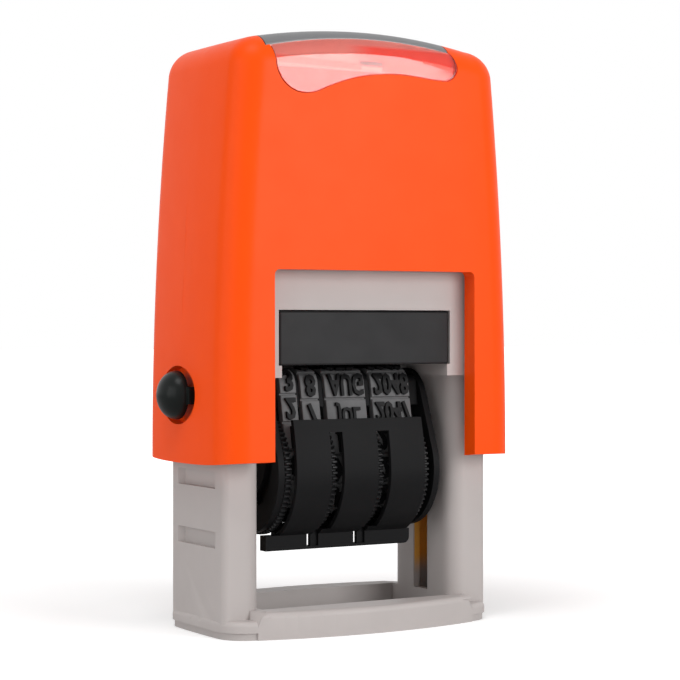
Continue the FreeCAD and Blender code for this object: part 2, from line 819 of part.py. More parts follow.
def make_cap():
    outer = cap_form("cap_outer")
    floor = cap_form("recess_floor", S.insert_depth)
    lens_back = cap_form("lens_back_form", S.lens_thickness)
    recess_zone = fuse("recess_zone", front_opening("recess_front", ZERO), top_zone("recess_top", -S.seam_gap))
    recess = cut("recess", recess_zone, floor)

    window = body("cap_window")
    sketch = sketch_on(window, "window_outline", "XZ_Plane")
    rounded_outline(sketch, pair(-window_half_width, S.cap_bottom - S.overrun * 2),
                    pair(window_half_width, window_top), S.window_corner, S.window_corner)
    pad(window, sketch, (S.cap_half_depth + S.cap_front_bow + S.overrun) * 2, both_ways=True)

    bosses, dishes, guides = [], [], []
    for side, word in ((1, "right"), (-1, "left")):
        rim = S.dish_boss_rim
        bosses.append(oval_rod(f"{word}_boss", across(side, dish_boss_face, dish_floor + S.cap_wall / 2),
                               S.dish_half_length + rim, S.dish_half_height + rim))
        dishes.append(oval_rod(f"{word}_dish", across(side, dish_floor, knob_reach),
                               S.dish_half_length, S.dish_half_height))
        low_x, high_x = across(side, leg_outer, knob_reach)
        half_length, half_height = S.stem_half_length + S.stem_clearance, S.stem_half_height + S.stem_clearance
        guides.append(block(f"{word}_guide", (low_x, S.knob_back - half_length, knob_height - half_height),
                            (high_x, S.knob_back + half_length, knob_height + half_height)))
    hollow = cut("cap_hollow", outer, cap_cavity(), window, recess)
    shell = cut("cap_shell", fuse("cap_with_bosses", hollow, *bosses), *dishes, *guides)
    keep(shell, "cap_shell")

    lens_zone = front_opening("lens_front", S.seam_gap)
    lens = cut("clear_lens", common("lens_block", lens_zone, outer), lens_back)
    keep(lens, "clear_lens")
    insert = cut("top_insert", common("insert_block", top_zone("insert_zone", S.seam_gap), outer), floor)
    keep(insert, "top_insert")


def make_yoke():
    plate = block("yoke_top", (-yoke_outer, -S.yoke_half_depth, roof_height - S.yoke_plate),
                  (yoke_outer, S.yoke_half_depth, roof_height))
    arms = mirrored_blocks("yoke_arm", (yoke_inner, -S.yoke_arm_half_depth, pivot_height - S.yoke_arm_end),
                           (yoke_outer, S.yoke_arm_half_depth, roof_height))
    post = rod("yoke_post", "Z", (ZERO, ZERO, roof_height - S.yoke_plate - S.spring_post_height),
               S.spring_post_height + S.yoke_plate / 2, S.spring_post_radius)
    holes = rod("yoke_holes", "X", (-cap_half_width, ZERO, pivot_height), cap_half_width * 2,
                S.pivot_pin_radius + S.running_fit)
    keep(cut("inner_yoke", fuse("yoke_solid", plate, *arms, post), holes), "inner_yoke")


def bent_wire(start, corner, end):
    """The arc between two points whose directions meet at the corner."""
    middle = (start + end) / 2
    reach_share = (start - middle).Length / (start - corner).Length
    crown = middle + (corner - middle) * (reach_share / (1 + reach_share))
    return Part.Arc(start, crown, end).toShape()


def two_arcs(start, out, end, into):
    """A pair of arcs that leave one point and reach another along the directions given there."""
    chord = end - start
    both = out + into
    turned = 2 * (1 - out.dot(into))
    along = chord.dot(both)
    reach = (math.sqrt(along * along + turned * chord.dot(chord)) - along) / turned
    near, far = start + out * reach, end - into * reach
    middle = (near + far) / 2
    return [bent_wire(start, near, middle), bent_wire(middle, far, end)]


def least_gap(path, turn_length, wire_radius):
    """The least distance between the surfaces of two turns, on points along the wire."""
    spacing = wire_radius
    points = path.discretize(Distance=spacing)
    apart = int(turn_length / spacing / 2)
    nearest = min(
        (one - other).Length
        for index, one in enumerate(points)
        for other in points[index + apart:]
    )
    return nearest - wire_radius * 2


def make_return_spring():
    """A coil between the floor of the well in the frame's head and the yoke, one wire on a steady helix."""
    radius, wire_radius, turns = S.spring_radius.value, S.spring_wire_radius.value, S.spring_turns.value
    low = (spring_seat + S.spring_wire_radius).value
    pitch = (roof_height - S.yoke_plate - S.spring_wire_radius - low).value / turns
    steps = round(turns / ARC_TURN_SHARE)
    places = []
    for step in range(steps + 1):
        turn = turns * step / steps
        angle = 2 * math.pi * turn
        spot = FreeCAD.Vector(radius * math.cos(angle), radius * math.sin(angle), low + pitch * turn)
        slope = FreeCAD.Vector(-math.sin(angle), math.cos(angle), pitch / (2 * math.pi * radius))
        places.append((spot, slope.normalize()))
    edges = []
    for (start, out), (end, into) in zip(places, places[1:]):
        edges += two_arcs(start, out, end, into)
    path = Part.Wire(edges)
    shell = Part.BRepOffsetAPI.MakePipeShell(path)
    shell.add(Part.Wire(Part.Circle(*places[0], wire_radius).toShape()))
    shell.build()
    shell.makeSolid()
    coil = DOC.addObject("Part::Feature", "return_spring")
    coil.Shape = shell.shape()
    gap = least_gap(path, path.Length / turns, wire_radius)
    swept = math.pi * wire_radius ** 2 * path.Length
    print(f"return_spring least gap {gap:.2f} volume {coil.Shape.Volume:.2f} section times length {swept:.2f}")
    keep(coil, "return_spring")


def make_lock_button(side, word):
    centre = knob_reach - S.knob_dome_height
    egg = DOC.addObject("Part::Ellipsoid", f"{word}_knob_egg")
    egg.Placement.Rotation = TURNS["X"]
    bind(egg, "Radius1", S.knob_dome_height)
    bind(egg, "Radius2", S.knob_radius)
    bind(egg, "Radius3", S.knob_radius)
    place(egg, centre * side, S.knob_back, knob_height)
    low_x, high_x = across(side, centre - S.knob_rim, knob_reach + S.overrun)
    reach = S.knob_radius + S.overrun
    front_half = block(f"{word}_knob_half", (low_x, S.knob_back - reach, knob_height - reach),
                       (high_x, S.knob_back + reach, knob_height + reach))
    knob = common(f"{word}_knob", egg, front_half)
    stem_end = leg_outer + S.pad_clearance
    collar_end = dish_floor + S.knob_travel + S.side_gap
    pieces = [knob]
    for piece, inner_end, half_length, half_height in (
        ("stem", stem_end, S.stem_half_length, S.stem_half_height),
        ("collar", collar_end, S.collar_half_length, S.collar_half_height),
    ):
        low_x, high_x = across(side, inner_end, centre)
        pieces.append(block(f"{word}_{piece}", (low_x, S.knob_back - half_length, knob_height - half_height),
                            (high_x, S.knob_back + half_length, knob_height + half_height)))
    keep(fuse(f"{word}_lock_button", *pieces), f"{word}_lock_button")


# The date unit: side plates, platen, guard, axle, pins, four bands and four wheels

def cam_path(turn_share):
    """Where the frame's peg lies in the unit, from rest (0) to fully pressed (1)."""
    turn = math.pi * turn_share
    across, up = S.peg_back, (turn_share - 0.5) * S.travel
    y = across * math.cos(turn) - up * math.sin(turn)
    z = across * math.sin(turn) + up * math.cos(turn) + pivot_height
    return FreeCAD.Vector(0, y.value, z.value)


def cam_groove(word, start):
    """The groove is as wide as the peg and its clearance on both sides of the peg's path."""
    steps = 24
    half = (S.peg_radius + S.cam_clearance).value
    centres = [cam_path(step / steps) for step in range(steps + 1)]
    line = Part.BSplineCurve()
    line.interpolate(centres)
    sides = []
    for sign in (1, -1):
        points = []
        for step, centre in enumerate(centres):
            ahead = line.tangent(line.parameter(centre))[0]
            points.append(centre + FreeCAD.Vector(0, -ahead.z, ahead.y) * (sign * half))
        curve = Part.BSplineCurve()
        curve.interpolate(points)
        sides.append((curve.toShape(), points))
    (left, left_points), (right, right_points) = sides
    ends = []
    for index, sign in ((0, -1), (-1, 1)):
        ahead = line.tangent(line.parameter(centres[index]))[0]
        tip = centres[index] + ahead * (sign * half)
        ends.append(Part.Arc(left_points[index], tip, right_points[index]).toShape())
    wire = Part.Wire(Part.__sortEdges__([left, ends[1], right, ends[0]]))
    prism = Part.Face(wire).extrude(FreeCAD.Vector(S.cam_depth.value + S.overrun.value, 0, 0))
    groove = DOC.addObject("Part::Feature", f"{word}_cam_groove")
    groove.Shape = prism
    groove.Placement.Base = FreeCAD.Vector(start.value, 0, 0)
    return groove


def make_side_plate(side, word):
    part = body(f"{word}_plate_body")
    inner_face = unit_inner if side > 0 else -unit_outer
    sketch = sketch_on(part, f"{word}_plate_outline", "YZ_Plane", inner_face)
    belt_outline(sketch, [
        (pair(0, wheel_height), plate_radius),
        (pair(0, plate_nose_height), S.plate_nose_radius),
    ])
    pad(part, sketch, S.plate_thickness)
    groove_start = unit_outer - S.cam_depth if side > 0 else -unit_outer - S.overrun
    groove = cam_groove(word, groove_start)
    start = inner_face - S.overrun
    through = S.plate_thickness + S.overrun * 2
    axle_hole = rod(f"{word}_axle_hole", "X", (start, ZERO, wheel_height), through, S.axle_radius + S.press_fit)
    pin_hole = rod(f"{word}_pin_hole", "X", (start, ZERO, pivot_height), through, S.pivot_pin_radius + S.press_fit)
    keep(cut(f"{word}_side_plate", part, groove, axle_hole, pin_hole), f"{word}_side_plate")


def make_pins():
    axle = rod("wheel_axle", "X", (-unit_outer, ZERO, wheel_height), unit_outer * 2, S.axle_radius)
    keep(axle, "wheel_axle")
    length = pivot_pin_reach - unit_inner
    right = rod("right_pivot_pin", "X", (unit_inner, ZERO, pivot_height), length, S.pivot_pin_radius)
    left = rod("left_pivot_pin", "X", (-pivot_pin_reach, ZERO, pivot_height), length, S.pivot_pin_radius)
    pins = DOC.addObject("Part::Compound", "pivot_pins")
    pins.Links = [right, left]
    keep(pins, "pivot_pins")


def band_circles(shrink):
    nose_level = band_top - S.nose_radius
    spread = S.nose_half_depth - S.nose_radius
    return [
        (pair(0, wheel_height), S.band_radius - shrink),
        (pair(spread, nose_level), S.nose_radius - shrink),
        (pair(-spread, nose_level), S.nose_radius - shrink),
    ]


def belt_prism(name, start, width, shrink):
    part = body(name)
    sketch = sketch_on(part, f"{name}_outline", "YZ_Plane", start)
    belt_outline(sketch, band_circles(shrink))
    return part, pad(part, sketch, width)


def make_band(word, start, width):
    part, _ = belt_prism(f"{word}_band_body", start, width, ZERO)
    inner = sketch_on(part, f"{word}_band_inside", "YZ_Plane", start)
    belt_outline(inner, band_circles(S.band_thickness))
    pocket(part, inner, width, backwards=True)
    keep(part, f"{word}_band")


def make_wheel(word, rim_start, rim_width, band_start, band_width):
    """A smooth hub under the band, and beside it the thumb rim that turns it."""
    rim = rod(f"{word}_rim", "X", (rim_start, ZERO, wheel_height), rim_width, S.rim_radius)
    first = min((rim_start, band_start), key=lambda size: size.value)
    last = max((rim_start + rim_width, band_start + band_width), key=lambda size: size.value)
    hub = rod(f"{word}_hub", "X", (first, ZERO, wheel_height), last - first, S.hub_radius)
    bore = rod(f"{word}_bore", "X", (-unit_outer, ZERO, wheel_height), unit_outer * 2,
               S.axle_radius + S.running_fit)
    keep(cut(f"{word}_wheel", fuse(f"{word}_wheel_solid", rim, hub), bore), f"{word}_wheel")


def make_platen():
    """The block that the bands run over at the top, with a fin in each gap between them."""
    core, _ = belt_prism("platen_core", -unit_inner, unit_inner * 2, S.band_thickness + S.press_fit)
    fins = []
    gaps = (
        (tens_band + S.day_tens_width, units_band),
        (units_band + S.day_units_width, month_band),
        (month_band + S.month_width, year_band),
    )
    for index, (start, end) in enumerate(gaps):
        fin, _ = belt_prism(f"platen_fin_{index}", start + S.side_gap, end - start - S.side_gap * 2, S.fin_drop)
        fins.append(fin)
    zone = block("platen_zone", (-unit_inner, -S.rim_radius, platen_bottom),
                 (unit_inner, S.rim_radius, band_top + S.overrun))
    keep(common("platen", fuse("platen_solid", core, *fins), zone), "platen")


def make_guard():
    part = body("guard_cover")
    cover_start, cover_end = tens_band, year_rim - S.guard_end_step
    bar_end = year_rim + S.side_gap
    sketch = sketch_on(part, "guard_section", "YZ_Plane", cover_start)
    outer, inner = guard_radius, guard_inner_radius
    level = wheel_height
    half_level = (guard_top + level) / 2
    outer_drop = root(outer * outer - guard_bar_back * guard_bar_back)
    inner_drop = root(inner * inner - guard_bar_back * guard_bar_back)
    half_lean = S.guard_top_lean * GUARD_LEAN_SHARE
    trace(sketch, (-(outer - S.guard_top_lean), guard_top), [
        [(-(outer - half_lean), half_level), (-outer, level)],
        [(-outer * DIAGONAL_SHARE, level - outer * DIAGONAL_SHARE), (-guard_bar_back, level - outer_drop)],
        [(-guard_bar_back, level - inner_drop)],
        [(-inner * DIAGONAL_SHARE, level - inner * DIAGONAL_SHARE), (-inner, level)],
        [(-(inner - half_lean), half_level), (-(inner - S.guard_top_lean), guard_top)],
        [(-(outer - S.guard_top_lean), guard_top)],
    ])
    pad(part, sketch, cover_end - cover_start)
    bar = block("guard_bar", (-unit_outer, -S.guard_bar_front, guard_bottom),
                (bar_end, -guard_bar_back, guard_bar_top - S.guard_thickness))
    comb = []
    for start, width, word in ((tens_band, S.day_tens_width, "tens"), (units_band, S.day_units_width, "units"),
                               (month_band, S.month_width, "month"), (year_band, S.year_width, "year")):
        comb.append(block(f"{word}_comb_tooth",
                          (start + S.side_gap, -(guard_bar_back + S.side_gap), guard_bottom + S.guard_notch_depth),
                          (start + width - S.side_gap, -comb_back, comb_top)))
    cover = fuse("guard_solid", part, bar, *comb)
    tools = []
    front, low = -(outer + S.overrun), guard_bottom + S.guard_notch_depth
    for word, rim_start in (("left", units_rim), ("right", month_rim)):
        middle = rim_start + S.rim_width / 2
        slot = middle - S.guard_slot_offset - S.guard_slot_width / 2
        tools.append(block(f"{word}_guard_slot", (slot, front, guard_bar_top),
                           (slot + S.guard_slot_width, -guard_bar_back, guard_slot_top)))
        slit = middle - S.guard_slit_offset - S.guard_slit_width / 2
        tools.append(block(f"{word}_guard_slit", (slit, front, low),
                           (slit + S.guard_slit_width, ZERO, low + S.guard_slit_height)))
        tools.append(block(f"{word}_guard_relief", (slit, S.guard_lip_thickness - S.guard_bar_front, low),
                           (slit + S.guard_relief_width, ZERO, low + S.guard_slit_height)))
        notch = middle - S.guard_notch_offset - S.guard_notch_width / 2
        tools.append(block(f"{word}_guard_notch", (notch, front, low),
                           (notch + S.guard_notch_width, S.guard_notch_depth - S.guard_bar_front, guard_bar_top)))
    keep(cut("thumb_guard", cover, *tools), "thumb_guard")


def make_date_unit():
    for side, word in ((1, "right"), (-1, "left")):
        make_side_plate(side, word)
    make_pins()
    make_platen()
    make_guard()
    wheels = (
        ("day_tens", tens_rim, S.end_rim_width, tens_band, S.day_tens_width),
        ("day_units", units_rim, S.rim_width, units_band, S.day_units_width),
        ("month", month_rim, S.rim_width, month_band, S.month_width),
        ("year", year_rim, S.end_rim_width, year_band, S.year_width),
    )
    for word, rim_start, rim_width, band_start, band_width in wheels:
        make_band(word, band_start, band_width)
        make_wheel(word, rim_start, rim_width, band_start, band_width)


def check_document():
    for thing in DOC.Objects:
        bad = [state for state in thing.State if state in ("Invalid", "Error")]
        if bad:
            raise RuntimeError(f"{thing.Label} failed: {bad}")
    for node, thing in NODES.items():
        shape = thing.Shape
        if shape.isNull() or not shape.isValid() or not shape.Solids:
            raise RuntimeError(f"{node} has no valid solid")


def export_nodes():
    os.makedirs("parts", exist_ok=True)
    for node, thing in NODES.items():
        thing.Shape.exportStep(f"parts/{node}.step")
        box = thing.Shape.BoundBox
        print(f"{node:20s} solids {len(thing.Shape.Solids)} volume {thing.Shape.Volume:9.2f}",
              f"x {box.XMin:.2f} {box.XMax:.2f} y {box.YMin:.2f} {box.YMax:.2f} z {box.ZMin:.2f} {box.ZMax:.2f}")


make_base_frame()
make_ink_pad()
make_cap()
make_yoke()
make_return_spring()
make_lock_button(1, "right")
make_lock_button(-1, "left")
make_date_unit()
DOC.recompute()
check_document()
export_nodes()
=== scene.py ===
import math

import bmesh
import bpy
from mathutils import Matrix, Vector


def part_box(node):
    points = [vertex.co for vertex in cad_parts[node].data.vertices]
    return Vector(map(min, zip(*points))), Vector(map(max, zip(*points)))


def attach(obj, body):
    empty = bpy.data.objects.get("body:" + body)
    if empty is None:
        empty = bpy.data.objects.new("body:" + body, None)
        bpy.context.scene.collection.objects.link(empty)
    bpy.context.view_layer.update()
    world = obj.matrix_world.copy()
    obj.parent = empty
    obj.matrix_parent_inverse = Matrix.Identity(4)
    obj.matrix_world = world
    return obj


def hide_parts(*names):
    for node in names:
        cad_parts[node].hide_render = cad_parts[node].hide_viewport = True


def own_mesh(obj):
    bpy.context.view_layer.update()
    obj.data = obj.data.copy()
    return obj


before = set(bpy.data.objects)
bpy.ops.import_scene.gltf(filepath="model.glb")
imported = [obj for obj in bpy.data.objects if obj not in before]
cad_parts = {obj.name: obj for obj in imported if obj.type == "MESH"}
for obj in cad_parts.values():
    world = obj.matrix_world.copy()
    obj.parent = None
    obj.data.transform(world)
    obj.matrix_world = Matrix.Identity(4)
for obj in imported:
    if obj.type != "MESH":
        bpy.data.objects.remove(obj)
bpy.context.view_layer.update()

MM = 0.001

# Camera, as solved from the photograph's edges
CAMERA_AZIMUTH = math.radians(-30.59)
CAMERA_ELEVATION = math.radians(0.4316)
CAMERA_DISTANCE = 297.2552 * MM
CAMERA_SIDEWAYS = 1.4147 * MM
CAMERA_TARGET_HEIGHT = 41.2323 * MM
LENS_LENGTH = 107.49
SENSOR_WIDTH = 36.0

# Date unit: the path of the bands, the wheels and the widths along X
WHEEL_HEIGHT = 22.4 * MM
BELT_RADIUS = 7.24 * MM
NOSE_RADIUS = 2.2 * MM
NOSE_REACH = 2.8 * MM
NOSE_HEIGHT = 34.9 * MM
BELT_THICKNESS = 1.1 * MM
BLOCK_COUNT = 15
BLOCK_RISE = 0.4 * MM
BLOCK_GAP = 0.3 * MM
BLOCK_EDGE = 0.09 * MM
BLOCK_ROOT = 0.05 * MM
CUTS_PER_BLOCK = 6
BELT_STEPS = 180
CHARACTER_RISE = 0.5 * MM
CHARACTER_ROOT = 0.06 * MM
CHARACTER_LIFT = 0.12 * MM
CHARACTER_SQUEEZE = 0.8
CHARACTER_CUT_SHARES = (-0.34, -0.17, 0.0, 0.17, 0.34)
CHARACTER_HEIGHT = 3.15 * MM
STROKE_WEIGHT = 0.03
RIM_RADIUS = 9.0 * MM
TOOTH_DEPTH = 0.5 * MM
TEETH = 72
STEPS_PER_TOOTH = 4
HUB_RADIUS = 6.0 * MM
BORE_RADIUS = 1.6 * MM
BOSS_RADIUS = 3.0 * MM
DISH_INNER = 3.4 * MM
DISH_OUTER = 7.2 * MM
RIM_INNER = 7.6 * MM
RIM_CHAMFER = 0.12 * MM
RIM_CATCH = 0.2 * MM

# Clip behind the window, painted on the card: left, right, lower and upper limit of its dark bar and of its
# bright bar, a painted glint
CLIP_DARK = (-2.5 * MM, 1.4 * MM, 79.9 * MM, 80.55 * MM)
CLIP_PAINTED_GLINT = (-2.2 * MM, 1.2 * MM, 79.15 * MM, 79.8 * MM)
CLIP_BLUR = 0.12 * MM

# Orange wedge behind the window: where each of its edges begins to fade and where it ends
WEDGE_SLANT_SHARE = 0.022
WEDGE_LOW = (79.05 * MM, 79.35 * MM)
WEDGE_HIGH = (82.75 * MM, 82.2 * MM)
WEDGE_LEFT = (-5.5 * MM, 0.5 * MM)
LINE_HIGH = (80.4 * MM, 79.9 * MM)
LINE_SHARE = 0.6

# Card behind the window: its gap to the lens and its thickness
CARD_GAP = 0.1 * MM
CARD_THICKNESS = 0.15 * MM

# Painted glow in the legs' channels, amber that stands in for light shining through their thin walls: where
# each of its edges begins to fade and where it ends
PAINTED_GLOW_INNER = (15.75 * MM, 15.95 * MM)
PAINTED_GLOW_OUTER = (19.9 * MM, 19.5 * MM)
PAINTED_GLOW_SIDE = (3.7 * MM, 3.62 * MM)
PAINTED_GLOW_LOW = (5.5 * MM, 9.0 * MM)
PAINTED_GLOW_HIGH = (40.0 * MM, 30.0 * MM)

# Merged copies of the solids
MERGE_DISTANCE = 0.0005 * MM
FLAT_ANGLE = math.radians(0.6)
ROUND_ANGLE = math.radians(28.0)

# Corner of the guard's bar
BAR_CORNER = 0.9 * MM
BAR_CORNER_STEPS = 5
CORNER_CATCH = 0.01 * MM

# Rails of the base, which lie in front of the legs and behind them, past RAIL_BEGIN
RAIL_END = 17.79 * MM
RAIL_FOOT = 2.6 * MM
RAIL_RISE = 1.2 * MM
RAIL_RAMP = 1.6 * MM
RAIL_BEGIN = 8.85 * MM
RAIL_CATCH = 0.03 * MM
RAIL_FOOT_CATCH = 0.1 * MM
RAIL_TOP_CATCH = 0.05 * MM

# Lower edge of the cap
SKIRT_HEIGHT = 24.7 * MM
SKIRT_START = 16.0 * MM
SKIRT_DIP = 0.6 * MM
SKIRT_CUTS = 7
SKIRT_CATCH = 0.1 * MM

# Return spring
SPRING_RADIUS = 4.2 * MM
WIRE_RADIUS = 0.45 * MM
SPRING_LOW = 48.45 * MM
SPRING_HIGH = 76.95 * MM
CLOSED_PITCH = 0.95 * MM
ACTIVE_TURNS = 6
TURN_STEPS = 28
WIRE_SIDES = 10

# Felt: how far its underside crowns and its sides pull in
FELT_CUTS = 14
FELT_CROWN = 0.22 * MM
FELT_PULL = 0.12 * MM

# Floor: its half width, and the distances between which it brightens to white
FLOOR_HALF = 3.0
FLOOR_DROP = 0.02 * MM
FLOOR_FADE = (0.04, 0.22)
FLOOR_GLOW = (0.35, 1.0)

# Studio light
WORLD_STRENGTH = 0.40
LAMP_DISTANCE = 0.6


# Node groups for effects that several materials share

def new_group(name, inputs, outputs):
    group = bpy.data.node_groups.new(name, "ShaderNodeTree")
    for word, kind in inputs:
        group.interface.new_socket(name=word, in_out="INPUT", socket_type=kind)
    for word, kind in outputs:
        group.interface.new_socket(name=word, in_out="OUTPUT", socket_type=kind)
    start = group.nodes.new("NodeGroupInput")
    end = group.nodes.new("NodeGroupOutput")
    return group, start, end


def noise(tree, vector, scale, detail=2.0, roughness=0.5):
    node = tree.nodes.new("ShaderNodeTexNoise")
    node.inputs["Detail"].default_value = detail
    node.inputs["Roughness"].default_value = roughness
    tree.links.new(vector, node.inputs["Vector"])
    if isinstance(scale, float):
        node.inputs["Scale"].default_value = scale
    else:
        tree.links.new(scale, node.inputs["Scale"])
    return node.outputs["Fac"]


def math_node(tree, operation, first, second, clamp=False):
    node = tree.nodes.new("ShaderNodeMath")
    node.operation = operation
    node.use_clamp = clamp
    for index, value in enumerate((first, second)):
        if isinstance(value, (int, float)):
            node.inputs[index].default_value = value
        else:
            tree.links.new(value, node.inputs[index])
    return node.outputs["Value"]


def blend_colours(tree, share, first, second):
    node = tree.nodes.new("ShaderNodeMix")
    node.data_type = "RGBA"
    tree.links.new(share, node.inputs["Factor"])
    for socket, value in ((node.inputs[6], first), (node.inputs[7], second)):
        if isinstance(value, tuple):
            socket.default_value = value
        else:
            tree.links.new(value, socket)
    return node.outputs[2]


def moulded_grain_group():
    """Plastic from a finely etched mould: a faint cloud in the colour, a fine grain and an uneven sheen."""
    group, start, end = new_group(
        "moulded_grain",
        (("Place", "NodeSocketVector"), ("Colour", "NodeSocketColor"), ("Shade", "NodeSocketColor"),
         ("Cloud Scale", "NodeSocketFloat"), ("Grain Scale", "NodeSocketFloat"),
         ("Roughness", "NodeSocketFloat"), ("Spread", "NodeSocketFloat")),
        (("Colour", "NodeSocketColor"), ("Roughness", "NodeSocketFloat"), ("Height", "NodeSocketFloat")),
    )
    cloud = noise(group, start.outputs["Place"], start.outputs["Cloud Scale"], 3.0)
    colour = blend_colours(group, cloud, start.outputs["Colour"], start.outputs["Shade"])
    group.links.new(colour, end.inputs["Colour"])
    grain = noise(group, start.outputs["Place"], start.outputs["Grain Scale"], 1.0)
    group.links.new(grain, end.inputs["Height"])
    sheen = math_node(group, "SUBTRACT", cloud, 0.5)
    sheen = math_node(group, "MULTIPLY", sheen, start.outputs["Spread"])
    group.links.new(math_node(group, "ADD", start.outputs["Roughness"], sheen, True), end.inputs["Roughness"])
    return group


MOULDED_GRAIN = moulded_grain_group()


# Materials

def plain_material(name):
    material = bpy.data.materials.new(name)
    material.use_nodes = True
    tree = material.node_tree
    return material, tree, tree.nodes["Principled BSDF"]


def moulded(name, colour, shade, roughness, spread, specular, grain_scale=7000.0,
            grain_depth=0.004 * MM, cloud_scale=260.0):
    """A moulded plastic with its own colours, sheen and grain."""
    material, tree, shader = plain_material(name)
    place = tree.nodes.new("ShaderNodeTexCoord")
    grain = tree.nodes.new("ShaderNodeGroup")
    grain.node_tree = MOULDED_GRAIN
    tree.links.new(place.outputs["Object"], grain.inputs["Place"])
    grain.inputs["Colour"].default_value = (*colour, 1.0)
    grain.inputs["Shade"].default_value = (*shade, 1.0)
    grain.inputs["Cloud Scale"].default_value = cloud_scale
    grain.inputs["Grain Scale"].default_value = grain_scale
    grain.inputs["Roughness"].default_value = roughness
    grain.inputs["Spread"].default_value = spread
    bump = tree.nodes.new("ShaderNodeBump")
    bump.inputs["Distance"].default_value = grain_depth
    bump.inputs["Strength"].default_value = 1.0
    tree.links.new(grain.outputs["Height"], bump.inputs["Height"])
    tree.links.new(grain.outputs["Colour"], shader.inputs["Base Color"])
    tree.links.new(grain.outputs["Roughness"], shader.inputs["Roughness"])
    tree.links.new(bump.outputs["Normal"], shader.inputs["Normal"])
    shader.inputs["Specular IOR Level"].default_value = specular
    return material


def steel(name, colour, roughness, scratch_scale):
    """Drawn steel with fine marks round it."""
    material, tree, shader = plain_material(name)
    place = tree.nodes.new("ShaderNodeTexCoord")
    marks = noise(tree, place.outputs["Object"], scratch_scale, 3.0)
    share = math_node(tree, "MULTIPLY", marks, 0.25)
    tree.links.new(math_node(tree, "ADD", share, roughness, True), shader.inputs["Roughness"])
    darker = [part * 0.8 for part in colour]
    tree.links.new(blend_colours(tree, marks, (*colour, 1.0), (*darker, 1.0)), shader.inputs["Base Color"])
    shader.inputs["Metallic"].default_value = 1.0
    return material


def felt():
    """Black felt that ink has soaked into: fibres, and wetter patches that shine."""
    material, tree, shader = plain_material("inked_felt")
    place = tree.nodes.new("ShaderNodeTexCoord")
    fibres = noise(tree, place.outputs["Object"], 5200.0, 4.0, 0.7)
    wet = noise(tree, place.outputs["Object"], 320.0, 2.0)
    tree.links.new(blend_colours(tree, wet, (0.006, 0.006, 0.009, 1.0), (0.016, 0.016, 0.022, 1.0)),
                   shader.inputs["Base Color"])
    tree.links.new(math_node(tree, "ADD", wet, 0.2, True), shader.inputs["Roughness"])
    bump = tree.nodes.new("ShaderNodeBump")
    bump.inputs["Distance"].default_value = 0.06 * MM
    tree.links.new(fibres, bump.inputs["Height"])
    tree.links.new(bump.outputs["Normal"], shader.inputs["Normal"])
    shader.inputs["Specular IOR Level"].default_value = 0.35
    return material


def tinted_window():
    """The clear window, tinted by its orange dye."""
    material, tree, shader = plain_material("tinted_window")
    place = tree.nodes.new("ShaderNodeTexCoord")
    haze = noise(tree, place.outputs["Object"], 420.0, 2.0)
    tree.links.new(blend_colours(tree, haze, (1.0, 0.50, 0.45, 1.0), (1.0, 0.46, 0.41, 1.0)),
                   shader.inputs["Base Color"])
    tree.links.new(math_node(tree, "MULTIPLY", haze, 0.12), shader.inputs["Roughness"])
    shader.inputs["Transmission Weight"].default_value = 1.0
    shader.inputs["IOR"].default_value = 1.49
    shader.inputs["Specular IOR Level"].default_value = 0.25
    return material


def step_mask(tree, value, start, end):
    """0 before start, 1 past end, smooth between them."""
    node = tree.nodes.new("ShaderNodeMapRange")
    node.interpolation_type = "SMOOTHSTEP"
    node.inputs["From Min"].default_value = start
    node.inputs["From Max"].default_value = end
    tree.links.new(value, node.inputs["Value"])
    return node.outputs["Result"]


def split_place(tree):
    place = tree.nodes.new("ShaderNodeTexCoord")
    split = tree.nodes.new("ShaderNodeSeparateXYZ")
    tree.links.new(place.outputs["Object"], split.inputs["Vector"])
    return split.outputs["X"], split.outputs["Y"], split.outputs["Z"]


def bar_mask(tree, x, z, bar):
    """1 inside an upright rectangle of X and Z, with a soft edge."""
    left, right, low, high = bar
    across = math_node(tree, "MULTIPLY", step_mask(tree, x, left - CLIP_BLUR, left + CLIP_BLUR),
                       step_mask(tree, x, right + CLIP_BLUR, right - CLIP_BLUR))
    along = math_node(tree, "MULTIPLY", step_mask(tree, z, low - CLIP_BLUR, low + CLIP_BLUR),
                      step_mask(tree, z, high + CLIP_BLUR, high - CLIP_BLUR))
    return math_node(tree, "MULTIPLY", across, along)


def window_card():
    """Pale card behind the window, with the cap's orange over its upper right and a clip painted on it: a
    dark bar and a bright bar that is a painted glint.
    """
    material = moulded("index_card", (0.86, 0.80, 0.78), (0.80, 0.74, 0.72), 0.8, 0.05, 0.2,
                       cloud_scale=900.0)
    tree = material.node_tree
    shader = tree.nodes["Principled BSDF"]
    x, _, z = split_place(tree)
    level = math_node(tree, "ADD", z, math_node(tree, "MULTIPLY", x, WEDGE_SLANT_SHARE))
    above = step_mask(tree, level, *WEDGE_LOW)
    below = step_mask(tree, z, *WEDGE_HIGH)
    right = step_mask(tree, x, *WEDGE_LEFT)
    wedge = math_node(tree, "MULTIPLY", math_node(tree, "MULTIPLY", above, below), right)
    line = math_node(tree, "MULTIPLY", above, step_mask(tree, level, *LINE_HIGH))
    line = math_node(tree, "MULTIPLY", line, LINE_SHARE)
    mask = math_node(tree, "MAXIMUM", wedge, line)
    pale = shader.inputs["Base Color"].links[0].from_socket
    colour = blend_colours(tree, mask, pale, (0.95, 0.10, 0.004, 1.0))
    colour = blend_colours(tree, bar_mask(tree, x, z, CLIP_DARK), colour, (0.20, 0.012, 0.006, 1.0))
    # Painted highlight: a near-white bar that stands in for the clip's glint
    colour = blend_colours(tree, bar_mask(tree, x, z, CLIP_PAINTED_GLINT), colour, (0.95, 0.93, 0.92, 1.0))
    tree.links.new(colour, shader.inputs["Base Color"])
    return material


